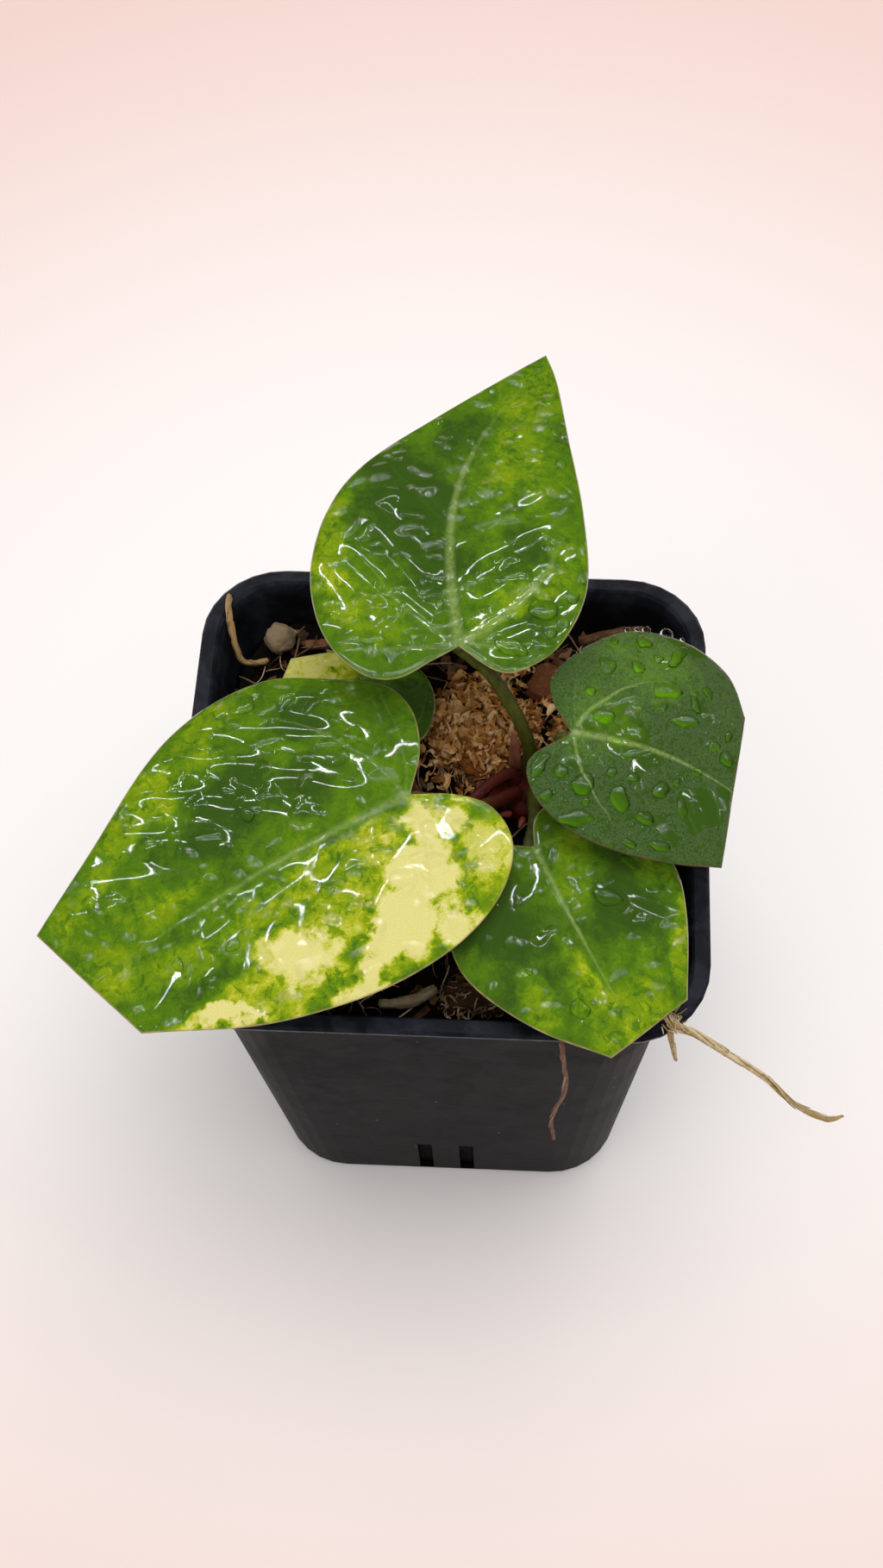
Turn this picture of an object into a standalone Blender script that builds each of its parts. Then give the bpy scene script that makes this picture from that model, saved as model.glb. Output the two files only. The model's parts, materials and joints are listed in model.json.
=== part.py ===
"""Young potted anthurium: a square nursery pot, its growing mix, and a crown with leaves and roots.

World frame: metres, +Z up, origin at the centre of the pot's foot, the front wall faces -Y.
Sizes below are in millimetres and are scaled once, where a mesh is made.
"""
import math

import bmesh
import bpy
from mathutils import Euler, Vector

MM = 0.001
GAP = 0.3

# Nursery pot
POT_HEIGHT = 100.0
RIM_HALF = 45.0
RIM_CORNER = 14.1
LIP_WIDTH = 2.8
NECK_HALF = 40.4
NECK_Z = 91.0
BASE_HALF = 33.9
BASE_CORNER = 13.3
WALL = 1.1
FLOOR = 1.6
FOOT_HALF = 29.0
FOOT_RISE = 0.4
SLOT_WIDTH = 2.8
SLOT_SILL = 2.0
SLOT_TOP = 19.0
SLOT_OFFSET = 4.1
CORNER_STEPS = 7

# Growing mix: its mean height, the size of its lumps and the highest that its centre stands
MIX_Z = 91.0
MIX_LUMP = 0.8
MIX_CENTRE = 91.2
MIX_RINGS = (1.0, 0.86, 0.70, 0.54, 0.38, 0.20)

# Crown, where the petioles rise
CROWN = (14.0, 4.8)
CROWN_TOP = 92.2
CROWN_FOOT = 72.0
PETIOLE_RING = 2.6
SHEATH_RING = 4.25
SHEATH_THICKNESS = 0.7

# Blades: thickness, fall towards the tip, groove at the midrib, drop towards the margins
BLADE = 0.8
ARCH = 0.11
GROOVE = 0.20
HANG = 0.23
CREASE = 3.0
RINGS = (0.24, 0.46, 0.66, 0.82, 0.94, 1.0)

# Each leaf: notch position, heading and pitch in degrees, blade length and half width, sideways bow
# of the midrib, hub of its rays, number of margin points, petiole radii and path, its angle on the
# crown, and the margin as runs of (along, across) that meet in sharp corners. Three tips are cut off.
LEAVES = {
    "top": dict(
        notch=(2.3, 14.2, 123.0), heading=80, pitch=-1, length=68, half=24, bow=7.6, hub=(14, 5), points=44,
        radii=(1.25, 1.12), ring=80, join=(0.4, -1.8),
        path=[(14.4, 7.3, 98), (14.4, 7.3, 102.5), (13.4, 7.9, 106.5), (12.1, 8.8, 110.4), (10.0, 10.4, 114.4),
              (7.4, 12.3, 118.2)],
        runs=[[(0, 0), (-3.7, 3.5), (-8.5, 8.2), (-9.1, 13.5), (-5.2, 19.8), (2.3, 25.2), (12, 28.5),
               (24, 28.7), (35, 25.3), (49.8, 15.2), (61, 7.6), (72.7, -0.2)],
              [(72.7, -0.2), (65.2, -3.6), (50, -8.7), (33.2, -14.6), (17, -18.3), (4, -16.4), (-2.6, -11.4),
               (-3.7, -7), (0, 0)]]),
    "left": dict(
        notch=(-4.8, -8.0, 112.5), heading=212, pitch=-4, length=62, half=30, bow=-1.0, hub=(14, 0), points=44,
        radii=(1.25, 1.15), ring=220,
        path=[(11.2, 2.0, 95.2), (8.6, -1.2, 98.2), (5.0, -4.6, 102.0), (1.0, -7.0, 106.4)],
        runs=[[(0, 0), (-5.9, 3.8), (-10, 9.2), (-9.9, 16.4), (-5, 22.4), (3.3, 26.3), (14, 27.5),
               (25.5, 26.2), (40, 21.7), (56.4, 12.4)],
              [(56.4, 12.4), (64.2, -12.9)],
              [(64.2, -12.9), (50, -20.8), (36, -29.8), (27.5, -33.6), (18.5, -34.9), (9.5, -33.2), (1, -26.8),
               (-6, -20.4), (-7.7, -13.5), (-5.3, -6.2), (0, 0)]]),
    "right": dict(
        notch=(21.1, 1.9, 117.0), heading=-16, pitch=-7, length=32, half=20, bow=2.2, hub=(11, 3), points=40,
        radii=(1.15, 1.0), ring=5,
        path=[(17.1, 5, 97), (18.4, 4.6, 104), (19.4, 3.6, 109.5)],
        runs=[[(0, 0), (-4.8, 4.8), (-6, 9.2), (-3, 16.1), (2.2, 22.8), (8.2, 25.4), (15, 25.3), (22, 21.8),
               (26.5, 14.9)],
              [(26.5, 14.9), (30.1, -12.9)],
              [(30.1, -12.9), (22.5, -15.5), (12.5, -17.1), (4, -16.4), (-2.4, -13), (-4.9, -7.3), (0, 0)]]),
    "front": dict(
        notch=(15.6, -15.1, 109.0), heading=-60, pitch=-3, length=36, half=19, bow=-0.6, hub=(11, 1),
        points=40, radii=(1.15, 1.0), ring=290,
        path=[(15.1, 1.4, 97), (15.4, -3, 101.6), (15.6, -8.6, 104.8)],
        runs=[[(0, 0), (-4.4, 2.6), (-5.3, 7.1), (-1.8, 12.6), (5.2, 17), (13, 19.3), (22, 16.4), (33.6, 9.8)],
              [(33.6, 9.8), (36.4, -5.6)],
              [(36.4, -5.6), (28, -13.6), (18, -19.2), (10.6, -20.2), (4, -17.2), (-1, -11), (-2.4, -5),
               (0, 0)]]),
    "small": dict(
        notch=(-6.9, 6.8, 102.5), heading=152, pitch=-3, length=24, half=12, bow=0.0, hub=(9, -1), points=32,
        radii=(1.1, 0.9), ring=152,
        path=[(11.0, 6.0, 95.6), (8.2, 3.4, 97.2), (5.0, 0.2, 96.8), (1.4, -2.0, 96.4), (-2.6, -1.6, 97.0),
              (-5.4, 1.2, 98.4), (-6.6, 4.4, 99.8)],
        runs=[[(0, 0), (-2, -3.8), (0.4, -10.6), (6, -15.7), (12.5, -17), (21, -14), (29.6, -8.1)],
              [(29.6, -8.1), (25.5, 6.8)],
              [(25.5, 6.8), (17, 11.5), (9, 12.3), (2.6, 10), (-0.9, 5), (0, 0)]]),
}

# Bark and moss, each in a pocket of the mix: centre, radii, turn in degrees, lumpiness and colour
LUMPS = {
    "moss_mound": ((5.2, 17.0, 91.0), (9.6, 8.4, 4.6), 10, 0.14, "moss"),
    "moss_front": ((7.4, -34.8, 92.2), (6.2, 2.9, 2.6), 6, 0.14, "moss"),
    "bark_ball": ((-31.6, 33.4, 94.6), (2.8, 2.8, 2.8), 0, 0.05, "bark"),
    "bark_chip_rear": ((18.0, 27.0, 92.0), (5.0, 3.6, 2.0), 35, 0.14, "bark"),
    "bark_chip_left": ((-27.0, 5.0, 91.4), (5.4, 3.4, 1.8), 70, 0.14, "bark"),
    "bark_chip_right": ((33.0, 12.0, 91.4), (3.4, 5.0, 1.9), 15, 0.14, "bark"),
    "bark_chip_front": ((-16.0, -30.0, 91.4), (5.2, 3.4, 1.9), -20, 0.14, "pale_bark"),
}
FINE_LUMP = 8.0

# Sticks and roots that stand in the mix, then roots that only lie on the pot: path, radii and colour
PLANTED = {
    "stick_rear_left": ([(-27.2, 33.4, 92.6), (-21, 34.2, 92.3), (-13, 34.6, 91.6)], (0.8, 0.9, 0.8), "bark"),
    "stick_rear_right": ([(23, 36.4, 91.6), (29, 36.9, 93.9), (34, 36.6, 96)], (0.9, 0.9, 0.7), "pale_bark"),
    "stick_front": ([(-9, -37.2, 93.2), (-4, -36.4, 93), (0, -33.6, 92.2)], (0.7, 1.0, 0.8), "pale_bark"),
    "root_right": ([(30.0, -29.0, 86), (32.0, -32.0, 94), (34.6, -35.6, 99), (36.6, -38.8, 101.4),
                    (38.8, -42.3, 101.5), (42.6, -43.8, 101), (48.3, -46.5, 99), (53.8, -48.7, 96),
                    (58.3, -51.2, 92.5), (64.0, -52.6, 89), (67.1, -51.6, 88)],
                   (0.9, 0.9, 0.95, 1.0, 1.05, 0.95, 0.8, 0.75, 0.7, 0.6, 0.4), "straw"),
    "root_front": ([(21, -34.0, 88), (21, -36.6, 94), (21, -39.6, 99), (21, -42.2, 100.95),
                    (21, -44.9, 100.95), (21.1, -46.1, 99.2), (21.6, -46.3, 93), (22.1, -46.1, 85),
                    (21.8, -45.8, 77), (20.6, -45.6, 69), (20.2, -45.6, 63), (20.8, -46.2, 56.5)],
                   (0.45, 0.4), "red_root"),
}
LAID = {
    "root_stub": ([(38.3, -44.2, 100.7), (38.9, -45.3, 98.3), (39.5, -46.2, 96)], (0.5, 0.45, 0.3),
                  "straw"),
    "root_corner": ([(-40.7, 38.2, 101.0), (-40.6, 35.6, 101.0), (-40.0, 32.6, 99.8), (-39.1, 29.8, 97.4),
                     (-38.2, 28.4, 94.8), (-36.2, 28.6, 93.6), (-33.6, 29.2, 93.6)], (0.6, 0.6), "straw"),
}

COLOURS = {
    "plastic": (0.020, 0.021, 0.024), "mix": (0.17, 0.095, 0.050), "moss": (0.52, 0.36, 0.18),
    "bark": (0.30, 0.17, 0.10), "pale_bark": (0.55, 0.45, 0.30), "leaf": (0.10, 0.26, 0.035),
    "dark_leaf": (0.045, 0.12, 0.03), "petiole": (0.22, 0.27, 0.06), "sheath": (0.28, 0.05, 0.04),
    "pink_sheath": (0.45, 0.16, 0.13), "straw": (0.52, 0.38, 0.14), "red_root": (0.30, 0.11, 0.06),
}


def material(name, colour, roughness=0.6):
    mat = bpy.data.materials.new(name)
    mat.use_nodes = True
    bsdf = mat.node_tree.nodes["Principled BSDF"]
    bsdf.inputs["Base Color"].default_value = (*colour, 1.0)
    bsdf.inputs["Roughness"].default_value = roughness
    return mat


def add_object(name, mesh, colour=None, roughness=0.6):
    """Link a mesh as an object with its own material; without a colour it is a cutter."""
    mesh.shade_smooth()
    mesh.set_sharp_from_angle(angle=math.radians(50))
    obj = bpy.data.objects.new(name, mesh)
    bpy.context.scene.collection.objects.link(obj)
    if colour:
        mesh.materials.append(material(name, COLOURS[colour], roughness))
    return obj


def closed_mesh(name, verts, faces):
    """Mesh from millimetre vertices, with its normals facing out."""
    mesh = bpy.data.meshes.new(name)
    mesh.from_pydata([Vector(v) * MM for v in verts], [], faces)
    bm = bmesh.new()
    bm.from_mesh(mesh)
    bmesh.ops.recalc_face_normals(bm, faces=bm.faces)
    bm.to_mesh(mesh)
    bm.free()
    return mesh


def open_sheet(name, verts, faces, thickness, colour, roughness):
    """Single sheet of triangles, thickened by the same amount on both faces."""
    mesh = bpy.data.meshes.new(name)
    mesh.from_pydata([Vector(v) * MM for v in verts], [], faces)
    obj = add_object(name, mesh, colour, roughness)
    thick = obj.modifiers.new("thickness", 'SOLIDIFY')
    thick.thickness = thickness * MM
    thick.offset = 0.0
    return obj


def cut(target, cutter):
    """Subtract a hidden cutter that stays in the scene as a wire."""
    cutter.hide_render = True
    cutter.display_type = 'WIRE'
    mod = target.modifiers.new("cut_" + cutter.name, 'BOOLEAN')
    mod.operation = 'DIFFERENCE'
    mod.solver = 'EXACT'
    mod.object = cutter


def loft(rings, foot=True):
    """Skin between rings of equal length; each end closes on a fan, unless the foot is left open."""
    count = len(rings[0])
    verts = [p for ring in rings for p in ring]
    faces = []
    for k in range(len(rings) - 1):
        a, b = k * count, (k + 1) * count
        for i in range(count):
            j = (i + 1) % count
            faces.append((a + i, a + j, b + j, b + i))
    for first in ((0,) if foot else ()) + ((len(rings) - 1) * count,):
        ring = verts[first:first + count]
        verts.append(tuple(sum(p[c] for p in ring) / count for c in range(3)))
        faces += [(first + i, first + (i + 1) % count, len(verts) - 1) for i in range(count)]
    return verts, faces


def rounded_square(half, corner, z):
    """Closed ring: four corner arcs, with one point in the middle of each side."""
    ring = []
    for quarter in range(4):
        turn = math.radians(90 * quarter)
        side = [(half, 0.0)]
        for s in range(CORNER_STEPS + 1):
            a = math.radians(90) * s / CORNER_STEPS
            side.append((half - corner + corner * math.cos(a), half - corner + corner * math.sin(a)))
        ring += [(x * math.cos(turn) - y * math.sin(turn), x * math.sin(turn) + y * math.cos(turn), z)
                 for x, y in side]
    return ring


def wall_half(z):
    """Half width of the pot's outer wall below the neck."""
    return BASE_HALF + (NECK_HALF - BASE_HALF) * z / NECK_Z


def wall_corner(z):
    return BASE_CORNER + (RIM_CORNER - BASE_CORNER) * z / POT_HEIGHT


def square_foot(verts, faces):
    """Close the pot's lowest ring on a square standing face, with a shallow rise to the rounded edge."""
    side = CORNER_STEPS + 2
    corner = len(verts)
    verts += [(x, y, 0.0) for x, y in ((FOOT_HALF, FOOT_HALF), (-FOOT_HALF, FOOT_HALF),
                                       (-FOOT_HALF, -FOOT_HALF), (FOOT_HALF, -FOOT_HALF))]
    for q in range(4):
        here, after = corner + q, corner + (q + 1) % 4
        middle = (q + 1) % 4 * side
        faces += [(here, q * side + i, q * side + i + 1) for i in range(1, side - 1)]
        faces += [(here, q * side + side - 1, middle), (here, middle, after), (after, middle, middle + 1)]
    faces.append(tuple(range(corner, corner + 4)))


def slot_boxes():
    """Boxes for the drain slots, two through the foot of each wall."""
    verts, faces = [], []
    for quarter in range(4):
        turn = math.radians(90 * quarter)
        for offset in (-SLOT_OFFSET, SLOT_OFFSET):
            start = len(verts)
            verts += [(x * math.cos(turn) - y * math.sin(turn), x * math.sin(turn) + y * math.cos(turn), z)
                      for x in (BASE_HALF - 3.4, BASE_HALF + 3.0)
                      for y in (offset - SLOT_WIDTH / 2, offset + SLOT_WIDTH / 2)
                      for z in (SLOT_SILL, SLOT_TOP)]
            faces += [tuple(start + i for i in face) for face in
                      ((0, 1, 3, 2), (4, 6, 7, 5), (0, 4, 5, 1), (2, 3, 7, 6), (0, 2, 6, 4), (1, 5, 7, 3))]
    return verts, faces


def build_pot():
    outer = [(FOOT_RISE, BASE_HALF - 1.0), (0.9, BASE_HALF - 0.3), (1.6, wall_half(1.6)),
             (46.0, wall_half(46.0)), (NECK_Z, NECK_HALF), (94.0, NECK_HALF + 0.7), (96.4, NECK_HALF + 2.0),
             (97.9, NECK_HALF + 3.7), (98.7, RIM_HALF - 0.1), (99.5, RIM_HALF)]
    inner = [(99.6, RIM_HALF - LIP_WIDTH - 0.2), (96.0, RIM_HALF - LIP_WIDTH - 1.6),
             (NECK_Z, NECK_HALF - WALL), (46.0, wall_half(46.0) - WALL), (FLOOR, wall_half(FLOOR) - WALL)]
    rings = [rounded_square(half, wall_corner(z) - (BASE_HALF - half if z < 1 else 0), z) for z, half in outer]
    rings.append(rounded_square(RIM_HALF - 0.5, RIM_CORNER - 0.5, POT_HEIGHT))
    rings.append(rounded_square(RIM_HALF - LIP_WIDTH + 0.2, RIM_CORNER - LIP_WIDTH + 0.2, POT_HEIGHT))
    for z, half in inner:
        outside = RIM_HALF if z > NECK_Z else wall_half(z)
        rings.append(rounded_square(half, wall_corner(z) - (outside - half) * (0.7 if z > NECK_Z else 1.0), z))
    verts, faces = loft(rings, foot=False)
    square_foot(verts, faces)
    pot = add_object("pot", closed_mesh("pot", verts, faces), "plastic", 0.45)
    cut(pot, add_object("drain_slots", closed_mesh("drain_slots", *slot_boxes())))


def mix_height(x, y):
    """Lumpy top of the mix, with a hollow beside the crown and a rise under the rear left ball."""
    z = MIX_Z + MIX_LUMP * (math.sin(0.31 * x + 1.1) * math.cos(0.27 * y) + 0.6 * math.sin(0.53 * y - 0.2 * x))
    z -= 2.6 * math.exp(-((x - 3.5) ** 2 + (y - 3.0) ** 2) / 30.0)
    return z + 1.6 * math.exp(-((x + 31.0) ** 2 + (y - 33.0) ** 2) / 60.0)


def build_mix():
    inset = WALL + GAP
    rings = [rounded_square(wall_half(z) - inset, wall_corner(z) - inset, z) for z in (FLOOR + GAP, 45.0, 89.0)]
    half, corner = NECK_HALF - inset - 0.6, wall_corner(NECK_Z) - inset
    for f in MIX_RINGS:
        ring = rounded_square(half * f, corner * f, 0.0)
        rings.append([(x, y, mix_height(x, y) if f == 1.0 else min(mix_height(x, y), MIX_CENTRE))
                      for x, y, _ in ring])
    return add_object("growing_mix", closed_mesh("growing_mix", *loft(rings)), "mix", 0.9)


def blob(name, centre, radii, turn, lump, colour, grow=0.0):
    """Lumpy ellipsoid; a grown copy with the same lumps is its pocket cutter."""
    bm = bmesh.new()
    bmesh.ops.create_icosphere(bm, subdivisions=3 if max(radii) > FINE_LUMP else 2, radius=1.0)
    for v in bm.verts:
        x, y, z = v.co
        wave = math.sin(5.1 * x + 2.0 * centre[0]) * math.cos(4.3 * y) + 0.7 * math.sin(6.2 * z + 3.1 * x)
        r = 1 + lump * wave
        p = Vector((x * radii[0], y * radii[1], z * radii[2])) * r
        v.co = p * ((p.length + grow) / p.length) * MM
    mesh = bpy.data.meshes.new(name)
    bm.to_mesh(mesh)
    bm.free()
    obj = add_object(name, mesh, colour, 0.9)
    obj.location = Vector(centre) * MM
    obj.rotation_euler.z = math.radians(turn)
    return obj


def tube(name, points, radii, colour, grow=0.0):
    """Round tube along a smoothed path, with filled ends; two radii taper evenly from end to end."""
    path = [Vector(p) for p in points]
    last = len(path) - 1
    if len(radii) == 2:
        radii = [radii[0] + (radii[1] - radii[0]) * i / last for i in range(last + 1)]
    if grow:
        path[0] += (path[0] - path[1]).normalized() * grow
        path[-1] += (path[-1] - path[-2]).normalized() * grow
    fine = spline([(*p, r + grow) for p, r in zip(path, radii)], 2)
    curve = bpy.data.curves.new(name, 'CURVE')
    curve.dimensions = '3D'
    curve.bevel_depth = MM
    curve.bevel_resolution = 2
    curve.use_fill_caps = True
    run = curve.splines.new('POLY')
    run.points.add(len(fine) - 1)
    for point, p in zip(run.points, fine):
        point.co = (*(p.xyz * MM), 1.0)
        point.radius = p[3]
    guide = bpy.data.objects.new(name + "_path", curve)
    bpy.context.scene.collection.objects.link(guide)
    mesh = bpy.data.meshes.new_from_object(guide.evaluated_get(bpy.context.evaluated_depsgraph_get()))
    mesh.name = name
    bpy.data.objects.remove(guide, do_unlink=True)
    return add_object(name, mesh, colour)


def spline(points, steps):
    """Catmull-Rom points through a run; the ends are kept."""
    pts = [Vector(p) for p in points]
    ext = [2 * pts[0] - pts[1]] + pts + [2 * pts[-1] - pts[-2]]
    out = []
    for i in range(1, len(ext) - 2):
        a, b, c, d = ext[i - 1:i + 3]
        for s in range(steps):
            t = s / steps
            out.append(0.5 * (2 * b + (c - a) * t + (2 * a - 5 * b + 4 * c - d) * t * t
                              + (3 * b - a - 3 * c + d) * t ** 3))
    return out + [pts[-1]]


def leaf_height(leaf, u, v):
    """Height of the blade's middle surface over its flat plane."""
    q = v - leaf["bow"] * math.sin(math.pi * min(max(u / leaf["length"], 0.0), 1.0))
    w = GROOVE * (math.hypot(q, CREASE) - CREASE) - HANG * q * q / leaf["half"]
    return w - (ARCH * u * u / leaf["length"] if u > 0 else 0.0)


def leaf_turn(leaf):
    return Euler((0.0, -math.radians(leaf["pitch"]), math.radians(leaf["heading"])))


def under_blade(leaf, u, v, depth):
    """World point below the blade's middle surface."""
    local = Vector((u, v, leaf_height(leaf, u, v) - depth))
    return Vector(leaf["notch"]) + leaf_turn(leaf).to_matrix() @ local


def margin(leaf):
    """Blade margin at even spacing within each run, so that the sharp corners stay."""
    fine = [[Vector(p) for p in run] if len(run) == 2 else spline(run, 12) for run in leaf["runs"]]
    lengths = [sum((b - a).length for a, b in zip(run, run[1:])) for run in fine]
    out = []
    for run, length in zip(fine, lengths):
        count = max(2, round(leaf["points"] * length / sum(lengths)))
        step, travelled, target = length / count, 0.0, 0.0
        for a, b in zip(run, run[1:]):
            d = (b - a).length
            while target < travelled + d - 1e-6 and target < length - step / 2:
                out.append(a + (b - a) * ((target - travelled) / d))
                target += step
            travelled += d
    return out


def build_blade(name, leaf):
    edge = margin(leaf)
    hub = Vector(leaf["hub"])
    count = len(edge)
    plan = [hub] + [hub + (p - hub) * f for f in RINGS for p in edge]
    verts = [(p.x, p.y, leaf_height(leaf, p.x, p.y)) for p in plan]
    faces = []
    for i in range(count):
        j = (i + 1) % count
        faces.append((0, 1 + i, 1 + j))
        for k in range(len(RINGS) - 1):
            a, b = 1 + k * count, 1 + (k + 1) * count
            faces += [(a + i, b + i, b + j), (a + i, b + j, a + j)]
    blade = open_sheet(name, verts, faces, BLADE, "dark_leaf" if name == "leaf_right" else "leaf", 0.3)
    blade.location = Vector(leaf["notch"]) * MM
    blade.rotation_euler = leaf_turn(leaf)


def build_petiole(name, leaf):
    """From the crown's flat top to a seat just under the blade, beside its midrib."""
    a = math.radians(leaf["ring"])
    x, y = CROWN[0] + PETIOLE_RING * math.cos(a), CROWN[1] + PETIOLE_RING * math.sin(a)
    seat = BLADE / 2 + GAP + leaf["radii"][1]
    points = [(x, y, CROWN_TOP + GAP), (x, y, CROWN_TOP + 1.5)] + leaf["path"]
    points += [under_blade(leaf, *leaf.get("join", (-1.0, 0.0)), seat + 0.9),
               under_blade(leaf, 1.2, 0.1, seat + 0.1), under_blade(leaf, 3.6, 0.3, seat + 0.1)]
    tube(name, points, leaf["radii"], "petiole")


def crown_rings(grow):
    profile = ((CROWN_FOOT - grow, 2.4), (80.0, 3.6), (87.5, 4.6), (91.0, 5.0), (CROWN_TOP, 4.5))
    if grow:
        profile = profile[:-1] + ((CROWN_TOP + 4.0, 5.0),)
    return [[(CROWN[0] + (r + grow) * math.cos(a), CROWN[1] + (r + grow) * math.sin(a), z)
             for a in (2 * math.pi * k / 20 for k in range(20))] for z, r in profile]


def sheath(name, azimuth, span, reach, rise, flare, colour):
    """Papery scale leaf that stands on the crown and narrows as it leans out."""
    rows, cols = 6, 4
    verts, faces = [], []
    for i in range(rows + 1):
        s = i / rows
        for j in range(cols + 1):
            t = 2 * j / cols - 1
            a = math.radians(azimuth + t * span * (1 - 0.72 * s ** 1.6))
            r = SHEATH_RING + reach * s ** 1.5 + flare * s * (1 - t * t)
            verts.append((CROWN[0] + r * math.cos(a), CROWN[1] + r * math.sin(a),
                          CROWN_TOP + GAP + 0.05 + rise * s))
    for i in range(rows):
        for j in range(cols):
            a, b = i * (cols + 1) + j, (i + 1) * (cols + 1) + j
            faces += [(a, a + 1, b + 1), (a, b + 1, b)]
    open_sheet(name, verts, faces, SHEATH_THICKNESS, colour, 0.5)


def seat_in_mix(mix, build, name, spec):
    """Make a piece and cut its pocket, one gap wider, in the mix."""
    build(name, *spec)
    cut(mix, build(name + "_pocket", *spec[:-1], None, grow=GAP + 0.1))


def main():
    for obj in list(bpy.data.objects):
        bpy.data.objects.remove(obj, do_unlink=True)
    build_pot()
    mix = build_mix()

    add_object("crown", closed_mesh("crown", *loft(crown_rings(0.0))), "sheath", 0.5)
    cut(mix, add_object("crown_pocket", closed_mesh("crown_pocket", *loft(crown_rings(GAP)))))
    for key, leaf in LEAVES.items():
        build_blade("leaf_" + key, leaf)
        build_petiole("petiole_" + key, leaf)
    sheath("sheath_rear", 119, 17, 0.9, 11.5, 0.5, "pink_sheath")
    sheath("sheath_left", 190, 26, 3.6, 3.0, 0.9, "sheath")

    for name, spec in LUMPS.items():
        seat_in_mix(mix, blob, name, spec)
    for name, spec in PLANTED.items():
        seat_in_mix(mix, tube, name, spec)
    for name, spec in LAID.items():
        tube(name, *spec)


main()
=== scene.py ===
"""Dress the solids of a potted anthurium: veined and marbled leaves, water, stalks, roots, mix and pot.

Sizes are in millimetres and are scaled once, where a mesh is made. The front of the pot faces -Y.
"""
import json
import math

import bmesh
import bpy
import numpy as np
from mathutils import Euler, Matrix, Vector, noise

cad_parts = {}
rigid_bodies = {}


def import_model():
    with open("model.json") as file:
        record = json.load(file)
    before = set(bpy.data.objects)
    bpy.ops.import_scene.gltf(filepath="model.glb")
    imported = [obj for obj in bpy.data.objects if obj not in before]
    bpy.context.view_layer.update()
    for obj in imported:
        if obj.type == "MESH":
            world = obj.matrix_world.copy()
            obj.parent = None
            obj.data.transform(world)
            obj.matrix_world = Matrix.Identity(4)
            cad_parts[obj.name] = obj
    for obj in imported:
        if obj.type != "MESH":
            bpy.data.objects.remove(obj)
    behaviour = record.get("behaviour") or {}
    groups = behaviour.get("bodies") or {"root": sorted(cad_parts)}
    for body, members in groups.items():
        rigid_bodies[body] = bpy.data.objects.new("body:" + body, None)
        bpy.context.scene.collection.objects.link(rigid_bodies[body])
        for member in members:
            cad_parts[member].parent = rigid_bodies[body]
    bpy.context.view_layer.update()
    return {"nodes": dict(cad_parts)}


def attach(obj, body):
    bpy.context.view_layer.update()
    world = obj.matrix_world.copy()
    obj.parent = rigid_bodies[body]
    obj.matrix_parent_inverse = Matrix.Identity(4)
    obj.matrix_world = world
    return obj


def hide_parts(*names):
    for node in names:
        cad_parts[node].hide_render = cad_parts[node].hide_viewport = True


bl_info = {
    "name": "Potted Anthurium",
    "version": (1, 0, 0),
    "blender": (4, 5, 0),
    "location": "View3D > Sidebar > Anthurium",
    "description": "Dresses the solids of a young potted anthurium with leaves, water, roots and growing mix",
    "category": "Object",
}

MM = 0.001
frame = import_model()

# The photograph's camera in millimetres, and the lights round the plant: where they face, in metres, and how
# far the narrow ones lean back, in degrees
CAMERA_PLACE = (15.548, -167.863, 401.646)
CAMERA_RIGHT = (0.99844654, 0.04967701, -0.02523279)
CAMERA_UP = (-0.0309801, 0.87137095, 0.48964569)
AIM = (0.0, 0.0, 0.08)
STRIP_LEANS = (19.0, 30.0, 41.0)
STRIP_SIZE = (1.50, 0.0025)
FLOOR_CENTRE = (-5.0, 45.0, 0.0)
FLOOR_RADIUS = 3.0
FLOOR_SIDES = 64

# The part's own measures
GAP = 0.3
CROWN = (14.0, 4.8)
CROWN_TOP = 92.2
PETIOLE_RING = 2.6
SHEATH_RING = 4.25
SOLID_HALF = 0.4
MIX_Z = 91.0
MIX_LUMP = 0.8
MIX_HALF = 38.2
MIX_CORNER = 12.4
MOUND = (5.2, 17.0)
ARCH = 0.11
GROOVE = 0.20
HANG = 0.23
CREASE = 3.0

# The looks: how the blade's plane is held in its UV map, half a fine blade's thickness, the side veins' step
# across the midrib, the drops and the film, the painted sheen of dry tissue and the rim's colour, and where
# the pot's lip begins
UV_SPAN = 200.0
UV_CENTRE = (0.25, 0.5)
HALF_BLADE = 0.30
SIDE_SHIFT = 0.45
DROP_LIFT = 0.26
FILM_DEPTH = 0.06
RIPPLE_LENGTH = 0.95
RIPPLE_WAY = (-0.83, 0.56, 0.0)
DRY_SHEEN_PAINT = (0.105, 0.150, 0.085)
PALE_RIM = (0.42, 0.33, 0.16)
LIP_LOW = 96.5
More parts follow.
